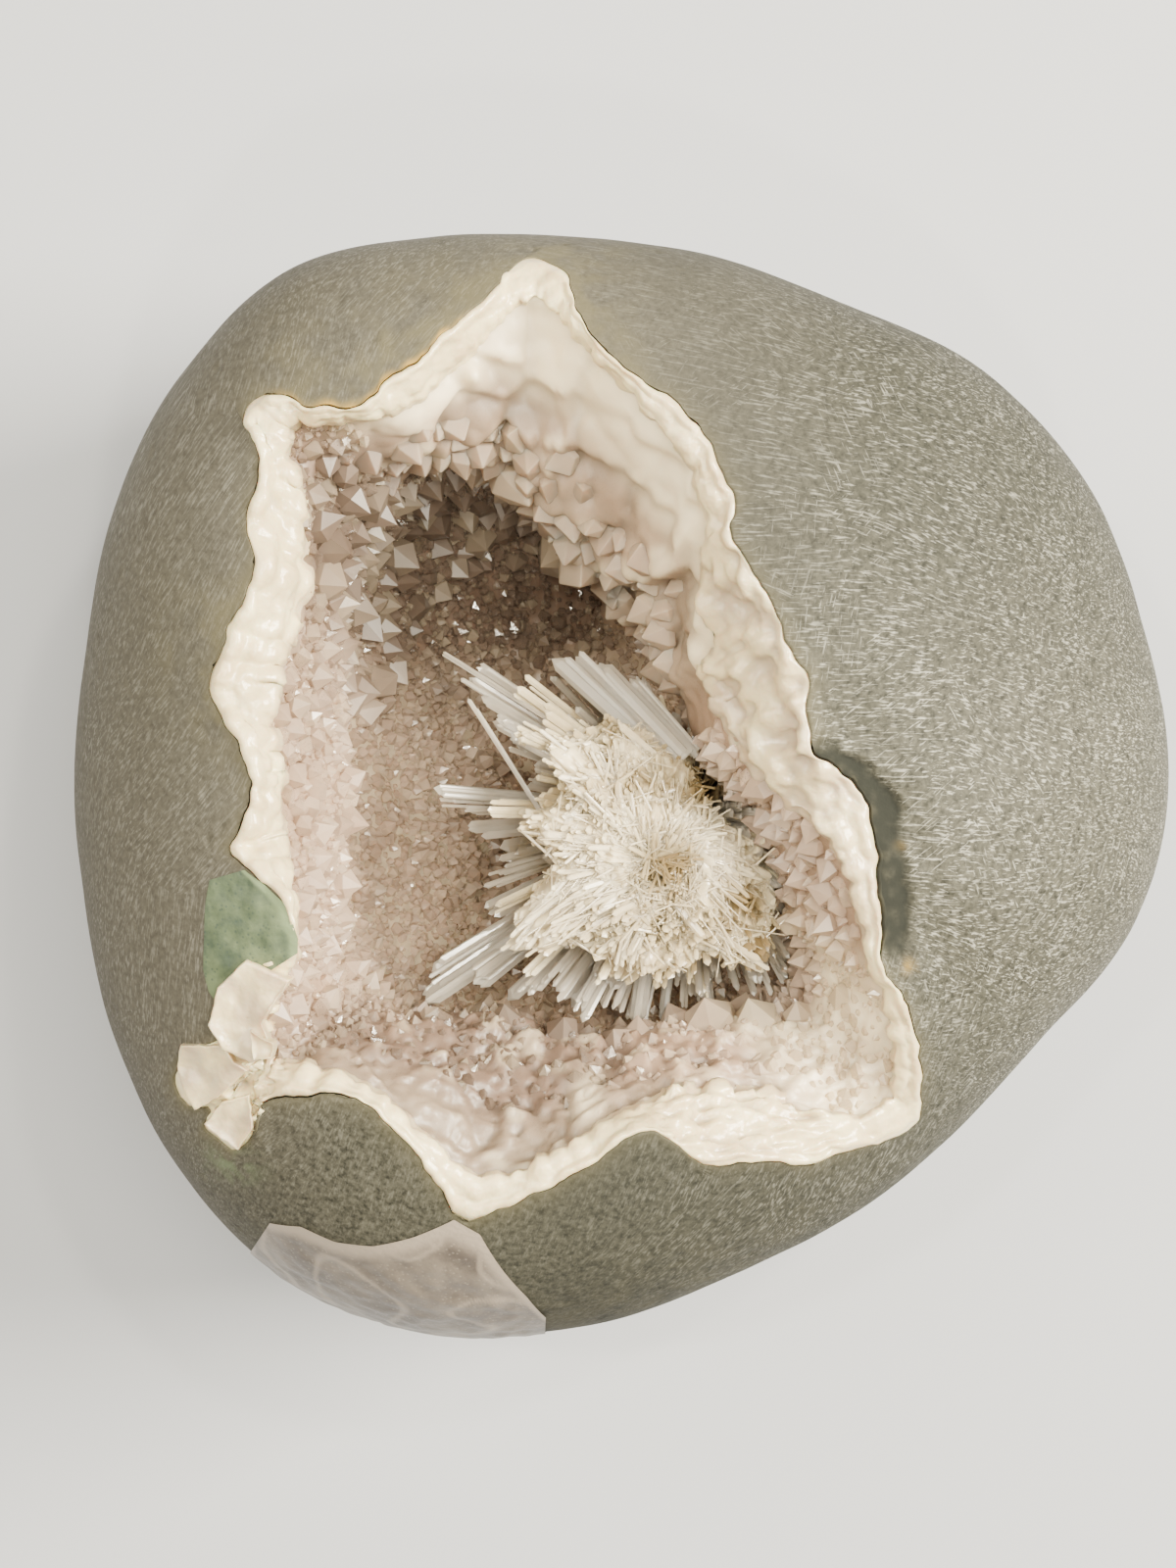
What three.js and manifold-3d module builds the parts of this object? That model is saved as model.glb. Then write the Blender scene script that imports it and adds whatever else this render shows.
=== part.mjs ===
// Scolecite geode: a ground basalt nodule whose hollow is lined with white chalcedony and
// pale pink quartz, with a spray of scolecite needles standing in it.
// Millimetres. The flat base lies on z = 0 and the open side looks up along +Z.
import * as THREE from 'three';
import { mergeVertices } from 'three/addons/utils/BufferGeometryUtils.js';
import Module from 'manifold-3d';

const wasm = await Module();
wasm.setup();

// Driving dimensions
const HEIGHT = 52;
const WIDEST_LEVEL = 22;
const UNDERSIDE_DEPTH = 24;
const AXIS = new THREE.Vector2(-3.2, 0.6);

// The middle of the finished object is moved onto the origin by this much
const CENTRING = new THREE.Vector3(-0.27, 0.76, 0);

const UNDERSIDE_FULLNESS = 2.4;
const FULL_TURN = 360;

// How square the profile of the top is: more at the far side, less at the right
const TOP_FULLNESS = { usual: 2.7, moreAtFarSide: 1.5, farSideAngle: 95, lessAtRight: 0.6 };

// Shallow place beside the rim that the grinding missed; it leans with the rim
const MISSED = { x: 16.4, y: -3.5, halfWidth: 2.8, halfLength: 8.5, lean: 0.38, depth: 0.7 };

// Gaps between touching pieces: band to rock, inlays and spray to what they sit in, band to quartz
const GAP = 0.35;
const CLEARANCE = 0.32;
const BAND_ROOM = 0.25;

// Wall of the hollow: levels and shares between the rock's edge, the bowl and its floor
const WALL_LEVEL = 36;
const CRUST_THICKNESS = 2.6;
const DEEPEST = new THREE.Vector3(-5.5, 5.9, 16.5);
const WALL_FORM = { bellyShare: 0.25, shoulderShare: 0.45, bowlDrop: 1.5, floorSpread: 1.6 };
const INNER_RING = { towardsMiddle: 0.5, depthShare: 0.72 };

// White band: how far its rings lie under the ground top and down the wall
const BAND_FORM = {
  topSink: 0.15, crestRise: 0.2, crestSlope: 0.36, lumps: 0.25,
  innerShare: 0.92, innerStep: 0.1, sideHeight: 1.0, seamShare: 0.84, backShare: 0.4,
};

// Quartz lining: rise of the ledge, place of the ring under the lip, roughness of each ring
const LEDGE_RISE = 0.9;
const EDGE_SINK = 0.2;
const UNDER_LIP = { bowlShare: 0.55, spread: 0.6, heightShare: 0.5 };

// How far the back of the lining stands off each ring of the wall, in gaps, sideways and up
const BACK_CLEAR = { belly: [1.3, 0], bowl: [1.3, 0.5], floor: [0.8, 1], inner: [0, 1.2] };
const ROUGHNESS = { ledge: 0.6, lip: 0.7, underLip: 0.6, bowl: 0.7, floor: 0.7, inner: 0.3 };

// Scolecite spray: heart where the needles meet, highest tips, taper of a needle
const SPRAY_ROOT = new THREE.Vector3(4.6, -2.0, 31.5);
const HEART = { radius: 3.4, flattening: 0.85, rise: 0.4 };
const HIGHEST_TIP = 46.5;
const NEEDLE_FORM = { footShare: 0.7, endShare: 1.4, slant: 0.6, flattening: 0.8 };

// Crystals thicker than this are prisms with a point, thinner ones plain pyramids; they lean a
// little at random and upwards
const PRISM_RADIUS = 1.4;
const CRYSTAL_LEAN = { upward: 0.6, share: 0.35 };

// Depth of the two inlaid minerals, and how far their cutter stands over the surface
const VEIN_DEPTH = 1.4;
const PATCH_DEPTH = 1.2;
const OVER_SURFACE = 1.5;

// Radius of the nodule about its axis, one value every 15 degrees from +X towards +Y
const NODULE_RADII = [
  42.4, 41.8, 41.6, 39.9, 37.3, 36.5, 36.5, 37.9, 39.7, 38.8, 37.2, 35.6,
  35.4, 36.0, 37.6, 39.5, 40.9, 40.6, 38.9, 37.1, 36.6, 36.8, 38.0, 41.2,
];

// Ragged edge of the rock around the hollow, counter-clockwise from the right:
// x, y, width of the white band inside the edge, drop of the band's inner side
const ROCK_EDGE = [
  [14.1, 0.0, 4.6, 3.2], [12.6, 1.2, 4.8, 4.0], [11.5, 2.1, 4.6, 5.0], [11.1, 4.2, 5.0, 5.6],
  [11.0, 6.6, 5.2, 6.0], [10.0, 8.4, 5.2, 6.0], [9.2, 10.0, 5.0, 6.0], [8.4, 11.8, 4.6, 5.8],
  [7.4, 13.6, 3.8, 5.2], [6.4, 15.2, 2.4, 3.6], [6.6, 16.9, 1.7, 1.8], [6.4, 18.1, 1.5, 1.0],
  [5.3, 20.2, 1.3, 0.9], [4.4, 22.1, 1.3, 0.8], [2.6, 24.0, 1.4, 0.8], [0.5, 25.2, 1.4, 0.8],
  [-1.6, 27.1, 1.3, 0.8], [-3.1, 29.8, 1.3, 0.8], [-4.1, 32.5, 1.6, 0.8], [-6.0, 33.6, 1.7, 0.8],
  [-7.6, 32.7, 1.5, 1.0], [-8.3, 31.2, 1.5, 1.6], [-9.6, 30.1, 1.8, 2.6], [-11.7, 28.1, 1.9, 2.8],
  [-12.8, 26.5, 1.9, 2.4], [-14.4, 25.6, 1.9, 2.0], [-16.2, 23.7, 1.6, 1.5],
  [-17.4, 23.3, 1.2, 1.2], [-19.5, 23.5, 1.1, 1.0], [-21.3, 24.2, 0.9, 1.0],
  [-23.4, 24.3, 1.1, 1.0], [-24.1, 22.9, 1.4, 1.2], [-23.3, 21.2, 2.1, 2.0],
  [-23.2, 19.0, 3.1, 4.0], [-23.9, 16.6, 3.8, 5.0], [-23.6, 13.8, 3.5, 5.0],
  [-24.0, 11.8, 3.2, 4.6], [-25.3, 9.2, 3.2, 3.6], [-26.3, 6.9, 3.6, 2.6], [-25.8, 4.6, 2.9, 2.0],
  [-24.4, 2.4, 1.9, 2.2], [-23.4, 0.2, 1.1, 3.0], [-24.1, -1.9, 1.7, 3.0], [-24.9, -4.2, 2.7, 2.8],
  [-23.6, -5.4, 1.9, 2.0], [-21.6, -7.1, 1.0, 1.2], [-20.9, -9.4, 0.9, 1.0],
  [-21.4, -10.9, 1.0, 1.2], [-23.1, -11.1, 1.9, 1.4], [-24.5, -12.0, 2.4, 1.5],
  [-25.8, -14.0, 3.0, 1.5], [-26.0, -16.2, 3.4, 1.5], [-28.0, -17.0, 5.2, 1.5],
  [-29.5, -18.6, 6.6, 1.5], [-28.9, -20.9, 6.8, 1.5], [-27.2, -21.0, 5.4, 1.5],
  [-27.3, -22.4, 6.4, 1.5], [-25.6, -23.6, 6.2, 1.5], [-23.9, -22.3, 4.8, 1.5],
  [-23.3, -20.1, 2.8, 1.5], [-21.1, -19.8, 2.0, 1.5], [-18.8, -19.4, 1.6, 1.5],
  [-16.6, -20.0, 1.7, 1.4], [-14.8, -21.4, 1.6, 1.2], [-13.3, -23.4, 1.4, 1.0],
  [-12.0, -25.6, 1.1, 1.0], [-10.4, -27.7, 1.1, 1.0], [-7.5, -26.7, 1.4, 1.0],
  [-5.0, -25.3, 1.5, 1.0], [-2.5, -24.1, 1.7, 1.6], [-0.1, -22.4, 2.0, 2.4], [1.6, -21.8, 2.4, 3.2],
  [3.4, -23.1, 3.8, 4.2], [5.4, -24.3, 5.0, 5.0], [8.7, -24.2, 5.2, 5.0], [11.5, -24.6, 4.6, 4.0],
  [14.1, -24.1, 2.4, 2.2], [15.6, -23.7, 1.5, 1.5], [17.1, -23.6, 1.3, 1.2],
  [19.4, -22.2, 1.2, 1.2], [19.2, -19.6, 1.1, 1.2], [18.9, -16.9, 1.2, 1.2],
  [17.4, -13.4, 1.2, 1.1], [16.1, -11.7, 1.1, 1.0], [15.9, -8.8, 1.5, 1.0], [15.5, -6.2, 1.6, 1.1],
  [15.5, -4.0, 1.7, 1.2], [15.2, -1.8, 2.3, 1.8],
];

// Inner lip of the quartz ledge: angle, radius about the axis, height
const LIP = [
  [7, 8.6, 38], [42, 8.9, 37], [62, 10.4, 36], [82, 13.2, 36], [91, 15.2, 38], [98, 17.6, 38.5],
  [102, 21.0, 40.5], [112, 23.0, 41], [122, 23.4, 41], [133, 22.0, 41], [143, 19.8, 41],
  [156, 17.4, 40.5], [173, 15.9, 40], [191, 15.8, 40], [208, 18.2, 42], [217, 21.4, 42.5],
  [226, 21.2, 40.5], [238, 18.8, 39], [250, 17.1, 38], [266, 17.0, 38], [281, 17.3, 38],
  [296, 16.7, 38], [306, 18.8, 38], [314, 22.2, 39.5], [321, 20.8, 40], [328, 16.6, 38.5],
  [344, 12.6, 38],
];

// The bowl under the lip: angle, radius and height of its widest part, radius and height of its floor
const BOWL = [
  [0, 9.2, 32, 6.4, 29.5], [30, 9.2, 30, 6.2, 26], [60, 12.5, 26.5, 8.5, 19.5],
  [90, 17.5, 26, 11.5, 18.5], [120, 20.5, 28, 13, 20], [150, 17.8, 32, 12, 23],
  [180, 16.2, 33.5, 10.5, 26.5], [210, 17.6, 33.5, 11.5, 26.5], [240, 18.6, 31, 12.5, 25.5],
  [270, 18.6, 29.5, 12.5, 23.5], [300, 19, 28.5, 12.5, 23.5], [330, 14.8, 31, 9.6, 28.5],
];

// Reach of the scolecite needles in plan around the root: angle, length, height of the tips
const NEEDLE_REACH = [
  [0, 3.8, 41], [32, 2.8, 41], [62, 3.4, 40], [88, 6.2, 38], [111, 10.3, 34], [122, 12.3, 37],
  [134, 13.4, 38], [147, 18.2, 38], [160, 13.5, 41], [177, 17.5, 40], [195, 14.5, 41], [214, 22.0, 36.5],
  [228, 16.5, 39], [241, 16.0, 38], [256, 15.0, 34], [275, 13.6, 34], [291, 13.4, 37],
  [305, 14.6, 33], [317, 12.8, 34], [338, 6.5, 40],
];

// Repeatable scatter value between -1 and 1
function scatter(a, b) {
  const value = Math.sin(a * 12.9898 + b * 78.233 + 4.1) * 43758.5453;
  return 2 * (value - Math.floor(value)) - 1;
}

function mix(from, to, share) {
  return from + (to - from) * share;
}

function radians(degrees) {
  return degrees * Math.PI / 180;
}

// Smooth closed curve through a table whose first column is an angle in degrees
function around(rows, column, angle) {
  const count = rows.length;
  const turned = THREE.MathUtils.euclideanModulo(angle - rows[0][0], FULL_TURN) + rows[0][0];
  let k = count - 1;
  while (k > 0 && rows[k][0] > turned) {
    k -= 1;
  }
  const knot = (j) => rows[THREE.MathUtils.euclideanModulo(j, count)][0] + FULL_TURN * Math.floor(j / count);
  const value = (j) => rows[THREE.MathUtils.euclideanModulo(j, count)][column];
  const slope = (j) => (value(j + 1) - value(j - 1)) / (knot(j + 1) - knot(j - 1));
  const step = knot(k + 1) - knot(k);
  const t = (turned - knot(k)) / step;
  const t2 = t * t;
  const t3 = t2 * t;
  return (2 * t3 - 3 * t2 + 1) * value(k) + (t3 - 2 * t2 + t) * step * slope(k)
    + (3 * t2 - 2 * t3) * value(k + 1) + (t3 - t2) * step * slope(k + 1);
}

const NODULE = NODULE_RADII.map((radius, k) => [k * FULL_TURN / NODULE_RADII.length, radius]);

function noduleRadius(angle) {
  return around(NODULE, 1, angle);
}

// Exponent of the top's profile: steep towards +Y, a gentle slope towards +X
function topFullness(angle) {
  const { usual, moreAtFarSide, farSideAngle, lessAtRight } = TOP_FULLNESS;
  const towardsFarSide = Math.max(0, Math.cos(radians(angle - farSideAngle)));
  const towardsRight = Math.max(0, Math.cos(radians(angle)));
  return usual + moreAtFarSide * towardsFarSide ** 2 - lessAtRight * towardsRight ** 2;
}

function angleOf(x, y) {
  return THREE.MathUtils.radToDeg(Math.atan2(y - AXIS.y, x - AXIS.x));
}

function polar(angle, radius, height) {
  const turn = radians(angle);
  return new THREE.Vector3(AXIS.x + radius * Math.cos(turn), AXIS.y + radius * Math.sin(turn), height);
}

// Depth of the place that the grinding missed
function missedHollow(x, y) {
  const along = y - MISSED.y;
  const across = x - MISSED.x + MISSED.lean * along;
  const distance = (across / MISSED.halfWidth) ** 2 + (along / MISSED.halfLength) ** 2;
  return MISSED.depth * Math.exp(-distance * distance);
}

function topHeight(x, y) {
  const angle = angleOf(x, y);
  const share = Math.min(1, Math.hypot(x - AXIS.x, y - AXIS.y) / noduleRadius(angle));
  const fullness = topFullness(angle);
  const rise = (1 - share ** fullness) ** (1 / fullness);
  return WIDEST_LEVEL + (HEIGHT - WIDEST_LEVEL) * rise - missedHollow(x, y);
}

// Point of the nodule's side below its widest level; share 0 is the widest level, 1 the flat base
function undersidePoint(angle, share) {
  const height = WIDEST_LEVEL * (1 - share);
  const drop = (WIDEST_LEVEL - height) / UNDERSIDE_DEPTH;
  const shrink = (1 - drop ** UNDERSIDE_FULLNESS) ** (1 / UNDERSIDE_FULLNESS);
  return polar(angle, noduleRadius(angle) * shrink, height);
}

// A spoke runs from the outside of the nodule over the rock's edge into the hollow. Its angle and
// radius are averaged with those of its neighbours, so that the lines outside the rim don't cross.
function makeSpokes() {
  const neighbours = 4;
  const pullToMiddle = 1.2;
  const evenTurnShare = 0.5;
  const count = ROCK_EDGE.length;
  const wrap = (i) => ROCK_EDGE[THREE.MathUtils.euclideanModulo(i, count)];
  const turns = [];
  let previous = angleOf(ROCK_EDGE[0][0], ROCK_EDGE[0][1]);
  for (let i = 0; i < count; i += 1) {
    const angle = angleOf(ROCK_EDGE[i][0], ROCK_EDGE[i][1]);
    previous += THREE.MathUtils.euclideanModulo(angle - previous + 180, FULL_TURN) - 180;
    turns.push(previous);
  }
  const turnAt = (i) => turns[THREE.MathUtils.euclideanModulo(i, count)] + FULL_TURN * Math.floor(i / count);
  const radiusAt = (i) => Math.hypot(wrap(i)[0] - AXIS.x, wrap(i)[1] - AXIS.y);
  const averaged = 2 * neighbours + 1;
  return ROCK_EDGE.map(([x, y, width, drop], i) => {
    let angle = 0;
    let radius = 0;
    for (let j = i - neighbours; j <= i + neighbours; j += 1) {
      angle += turnAt(j) / averaged;
      radius += radiusAt(j) / averaged;
    }
    const edge = new THREE.Vector2(x, y);
    const tangent = new THREE.Vector2(wrap(i + 1)[0] - wrap(i - 1)[0], wrap(i + 1)[1] - wrap(i - 1)[1]);
    const normal = new THREE.Vector2(-tangent.y, tangent.x).normalize();
    const inward = AXIS.clone().sub(edge).normalize().multiplyScalar(pullToMiddle).add(normal).normalize();
    const outerAngle = mix(angle, turns[0] + i * FULL_TURN / count, evenTurnShare);
    return { angle, outerAngle, radius, edge, normal, inward, width, drop, height: topHeight(x, y) };
  });
}

const SPOKES = makeSpokes();

// Point square to the rock's edge: `across` into the hollow, `sink` below the ground top
function bandPoint(spoke, across, sink) {
  const x = spoke.edge.x + spoke.normal.x * across;
  const y = spoke.edge.y + spoke.normal.y * across;
  return new THREE.Vector3(x, y, topHeight(x, y) - sink);
}

// Inner line of the white band, evened out so that its points keep their order
function innerLine() {
  let line = SPOKES.map((s) => new THREE.Vector2(s.edge.x, s.edge.y).addScaledVector(s.inward, s.width));
  const passes = 4;
  for (let pass = 0; pass < passes; pass += 1) {
    line = line.map((point, i) => {
      const before = line[(i + line.length - 1) % line.length];
      const after = line[(i + 1) % line.length];
      return point.clone().multiplyScalar(0.5).addScaledVector(before, 0.25).addScaledVector(after, 0.25);
    });
  }
  return line;
}

const INNER_LINE = innerLine();

// Point beside the inner line: `beyond` towards the middle of the hollow, `sink` below the ground top
function innerPoint(i, beyond, sink) {
  const count = INNER_LINE.length;
  const along = INNER_LINE[(i + 1) % count].clone().sub(INNER_LINE[(i + count - 1) % count]).normalize();
  const x = INNER_LINE[i].x - along.y * beyond;
  const y = INNER_LINE[i].y + along.x * beyond;
  return new THREE.Vector3(x, y, topHeight(x, y) - sink);
}

// Point between the floor's ring and the deepest place
function innerRingPoint(floorPoint, middle) {
  const point = floorPoint.clone().lerp(middle, INNER_RING.towardsMiddle);
  point.z = mix(floorPoint.z, middle.z, INNER_RING.depthShare);
  return point;
}

// Rock wall of the hollow, from the edge down to the deepest place
function wallRings() {
  const edge = SPOKES.map((s) => new THREE.Vector3(s.edge.x, s.edge.y, s.height));
  const { bellyShare, shoulderShare, bowlDrop, floorSpread } = WALL_FORM;
  const belly = SPOKES.map((s) => {
    const bowlRadius = around(BOWL, 1, s.angle) + CRUST_THICKNESS;
    return polar(s.angle, mix(s.radius, bowlRadius, bellyShare), WALL_LEVEL);
  });
  const shoulder = SPOKES.map((s, i) => edge[i].clone().lerp(belly[i], shoulderShare));
  const bowl = SPOKES.map((s) => {
    return polar(s.angle, around(BOWL, 1, s.angle) + CRUST_THICKNESS, around(BOWL, 2, s.angle) - bowlDrop);
  });
  const floor = SPOKES.map((s) => {
    const height = around(BOWL, 4, s.angle) - CRUST_THICKNESS;
    return polar(s.angle, around(BOWL, 3, s.angle) + floorSpread, height);
  });
  const middle = new THREE.Vector3(DEEPEST.x, DEEPEST.y, DEEPEST.z - CRUST_THICKNESS);
  const inner = floor.map((point) => innerRingPoint(point, middle));
  return { edge, shoulder, belly, bowl, floor, inner, middle };
}

const WALL = wallRings();

// Moves a ring of wall points near the rim into the hollow, clear of the rock
function clearOfRim(ring) {
  return ring.map((point, i) => {
    const { x, y } = SPOKES[i].normal;
    return new THREE.Vector3(point.x + x * GAP, point.y + y * GAP, point.z);
  });
}

// Moves a ring of wall points deep in the hollow towards the middle of the hollow and up
function clearOfBowl(ring, sideways, up) {
  return ring.map((point) => {
    const towards = new THREE.Vector2(AXIS.x - point.x, AXIS.y - point.y).normalize();
    return new THREE.Vector3(point.x + towards.x * sideways, point.y + towards.y * sideways, point.z + up);
  });
}

// Every second ring point: the deeper, smoother part of the wall needs no more
function halfRing(ring) {
  return ring.filter((point, i) => i % 2 === 0);
}

// Wall from the shoulder down; stone and quartz back share it, so that they stay parallel
function wallTriangles(shoulder, belly, bowl, floor, inner, middle) {
  const triangles = [];
  joinRings(triangles, shoulder, belly);
  joinRings(triangles, belly, bowl);
  joinRings(triangles, bowl, floor);
  joinRings(triangles, floor, inner);
  capRing(triangles, inner, middle);
  return triangles;
}

// Triangles between two closed rings of equal count, or of which one has half the points
function joinRings(triangles, outer, inner) {
  const fine = Math.max(outer.length, inner.length);
  for (let i = 0; i < fine; i += 1) {
    const next = (i + 1) % fine;
    if (outer.length === inner.length) {
      triangles.push([outer[i], outer[next], inner[next]], [outer[i], inner[next], inner[i]]);
    } else if (outer.length === fine) {
      const k = Math.floor(i / 2);
      triangles.push([outer[i], outer[next], inner[(k + (i % 2)) % inner.length]]);
      if (i % 2 === 0) {
        triangles.push([outer[next], inner[(k + 1) % inner.length], inner[k]]);
      }
    } else {
      const k = Math.floor(i / 2);
      triangles.push([outer[(k + (i % 2)) % outer.length], inner[next], inner[i]]);
      if (i % 2 === 0) {
        triangles.push([outer[k], outer[(k + 1) % outer.length], inner[next]]);
      }
    }
  }
}

function capRing(triangles, ring, middle) {
  ring.forEach((point, i) => triangles.push([point, ring[(i + 1) % ring.length], middle]));
}

function toGeometry(triangles) {
  const points = [];
  for (const triangle of triangles) {
    for (const point of triangle) {
      points.push(point.x, point.y, point.z);
    }
  }
  const geometry = new THREE.BufferGeometry();
  geometry.setAttribute('position', new THREE.Float32BufferAttribute(points, 3));
  return mergeVertices(geometry, 1e-4);
}

function toSolid(geometry) {
  const plain = geometry.clone();
  plain.deleteAttribute('normal');
  plain.deleteAttribute('uv');
  const merged = mergeVertices(plain, 1e-4);
  return new wasm.Manifold(new wasm.Mesh({
    numProp: 3,
    vertProperties: new Float32Array(merged.attributes.position.array),
    triVerts: new Uint32Array(merged.index.array),
  }));
}

// Leaves out the crumbs that a cut can part from a body
function largestBody(solid) {
  return solid.decompose().reduce((best, body) => (body.volume() > best.volume() ? body : best));
}

function toMesh(solid, name, material) {
  const data = solid.getMesh();
  const geometry = new THREE.BufferGeometry();
  geometry.setAttribute('position', new THREE.BufferAttribute(new Float32Array(data.vertProperties), 3));
  geometry.setIndex(new THREE.BufferAttribute(new Uint32Array(data.triVerts), 1));
  geometry.computeVertexNormals();
  const mesh = new THREE.Mesh(geometry, material);
  mesh.name = name;
  mesh.position.copy(CENTRING);
  return mesh;
}

// Ground nodule with its flat base and the rough hollow in its top
function makeStone() {
  const triangles = [];
  const lowerShares = [1, 0.93, 0.76, 0.42];
  const lower = lowerShares.map((share) => halfRing(SPOKES).map((s) => undersidePoint(s.outerAngle, share)));
  const widestRing = SPOKES.map((s) => undersidePoint(s.outerAngle, 0));
  const baseMiddle = new THREE.Vector3(AXIS.x, AXIS.y, 0);
  capRing(triangles, [...lower[0]].reverse(), baseMiddle);
  for (let k = 0; k + 1 < lower.length; k += 1) {
    joinRings(triangles, lower[k], lower[k + 1]);
  }
  const upperShares = [0.035, 0.13, 0.33, 0.64];
  const rings = upperShares.map((share) => SPOKES.map((s, i) => {
    const x = mix(widestRing[i].x, s.edge.x, share);
    const y = mix(widestRing[i].y, s.edge.y, share);
    return new THREE.Vector3(x, y, topHeight(x, y));
  }));
  joinRings(triangles, lower[lower.length - 1], widestRing);
  joinRings(triangles, widestRing, rings[0]);
  for (let k = 0; k + 1 < rings.length; k += 1) {
    joinRings(triangles, rings[k], rings[k + 1]);
  }
  joinRings(triangles, rings[rings.length - 1], WALL.edge);
  joinRings(triangles, WALL.edge, WALL.shoulder);
  const deep = [WALL.belly, WALL.bowl, WALL.floor, WALL.inner].map(halfRing);
  triangles.push(...wallTriangles(WALL.shoulder, ...deep, WALL.middle));
  return toSolid(toGeometry(triangles));
}

// White band that lines the edge of the hollow: lumpy top, broad faces on the right and front
function makeBand(grow) {
  const wallPoint = (i, share) => {
    const point = WALL.edge[i].clone().lerp(WALL.shoulder[i], share);
    const across = GAP - grow;
    return point.add(new THREE.Vector3(SPOKES[i].normal.x * across, SPOKES[i].normal.y * across, 0));
  };
  const form = BAND_FORM;
  const outerTop = SPOKES.map((s) => bandPoint(s, GAP - grow, form.topSink - grow));
  const innerTop = SPOKES.map((s, i) => {
    return innerPoint(i, grow - form.innerStep, s.drop * form.innerShare - grow);
  });
  const innerSide = SPOKES.map((s, i) => innerPoint(i, grow, s.drop + form.sideHeight + grow));
  const crest = SPOKES.map((s, i) => {
    const point = bandPoint(s, GAP, 0).lerp(innerPoint(i, 0, 0), 0.5);
    point.z += form.crestRise - form.crestSlope * s.drop + form.lumps * scatter(i, 3) + grow;
    return point;
  });
  const growShare = 0.25;
  const seam = SPOKES.map((s, i) => wallPoint(i, form.seamShare + growShare * grow));
  const back = SPOKES.map((s, i) => wallPoint(i, form.backShare));
  const section = [outerTop, crest, innerTop, innerSide, seam, back];
  const triangles = [];
  section.forEach((ring, k) => joinRings(triangles, ring, section[(k + 1) % section.length]));
  return toSolid(toGeometry(triangles));
}

// Rings of the quartz surface from the white band over the ledge and lip down to the floor
function quartzRings() {
  const rough = (point, ring, i, size) => {
    point.z += size * scatter(i, ring);
    point.x += 0.5 * size * scatter(i, ring + 20);
    point.y += 0.5 * size * scatter(i, ring + 40);
    return point;
  };
  const edge = SPOKES.map((s, i) => innerPoint(i, GAP, s.drop + EDGE_SINK));
  const lip = SPOKES.map((s, i) => {
    return rough(polar(s.angle, around(LIP, 1, s.angle), around(LIP, 2, s.angle)), 2, i, ROUGHNESS.lip);
  });
  const ledge = SPOKES.map((s, i) => {
    const point = edge[i].clone().lerp(lip[i], 0.5);
    point.z += LEDGE_RISE;
    return rough(point, 1, i, ROUGHNESS.ledge);
  });
  const underLip = SPOKES.map((s, i) => {
    const { bowlShare, spread, heightShare } = UNDER_LIP;
    const radius = mix(around(LIP, 1, s.angle), around(BOWL, 1, s.angle), bowlShare) + spread;
    const height = mix(around(LIP, 2, s.angle), around(BOWL, 2, s.angle), heightShare);
    return rough(polar(s.angle, radius, height), 4, i, ROUGHNESS.underLip);
  });
  const bowl = SPOKES.map((s, i) => {
    return rough(polar(s.angle, around(BOWL, 1, s.angle), around(BOWL, 2, s.angle)), 5, i, ROUGHNESS.bowl);
  });
  const floor = SPOKES.map((s, i) => {
    return rough(polar(s.angle, around(BOWL, 3, s.angle), around(BOWL, 4, s.angle)), 6, i, ROUGHNESS.floor);
  });
  const inner = floor.map((point, i) => rough(innerRingPoint(point, DEEPEST), 7, i, ROUGHNESS.inner));
  return [edge, ledge, lip, underLip, bowl, floor, inner];
}

const QUARTZ = quartzRings();

// Quartz lining with its back a little clear of the rock wall
function makeQuartzBed() {
  const triangles = [];
  const last = QUARTZ.length - 1;
  const fineLevels = 3;
  const front = QUARTZ.map((ring, k) => (k > fineLevels ? halfRing(ring) : ring));
  for (let k = 0; k < last; k += 1) {
    joinRings(triangles, front[k], front[k + 1]);
  }
  capRing(triangles, front[last], DEEPEST);
  const underBandSink = 1.5;
  const underBand = SPOKES.map((s, i) => innerPoint(i, GAP, s.drop + underBandSink));
  const underSeam = clearOfRim(WALL.shoulder);
  joinRings(triangles, underBand, QUARTZ[0]);
  joinRings(triangles, underSeam, underBand);
  const middle = WALL.middle.clone();
  middle.z += GAP;
  const deep = ['belly', 'bowl', 'floor', 'inner'].map((name) => {
    const [sideways, up] = BACK_CLEAR[name];
    return halfRing(clearOfBowl(WALL[name], sideways * GAP, up * GAP));
  });
  const back = wallTriangles(underSeam, ...deep, middle);
  back.forEach(([a, b, c]) => triangles.push([a, c, b]));
  return toSolid(toGeometry(triangles));
}

// Point and outward direction of the quartz surface; level counts the rings from the band inwards
function quartzSpot(angle, level) {
  const count = SPOKES.length;
  let i = 0;
  let nearest = Infinity;
  SPOKES.forEach((s, j) => {
    const away = Math.abs(THREE.MathUtils.euclideanModulo(s.angle - angle + 180, FULL_TURN) - 180);
    if (away < nearest) {
      nearest = away;
      i = j;
    }
  });
  const k = Math.min(Math.floor(level), QUARTZ.length - 2);
  const place = QUARTZ[k][i].clone().lerp(QUARTZ[k + 1][i], level - k);
  const beside = QUARTZ[k][(i + 2) % count].clone().sub(QUARTZ[k][(i + count - 2) % count]);
  const down = QUARTZ[k + 1][i].clone().sub(QUARTZ[k][i]);
  const outward = new THREE.Vector3().crossVectors(beside, down).normalize();
  return { place, outward };
}

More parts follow.
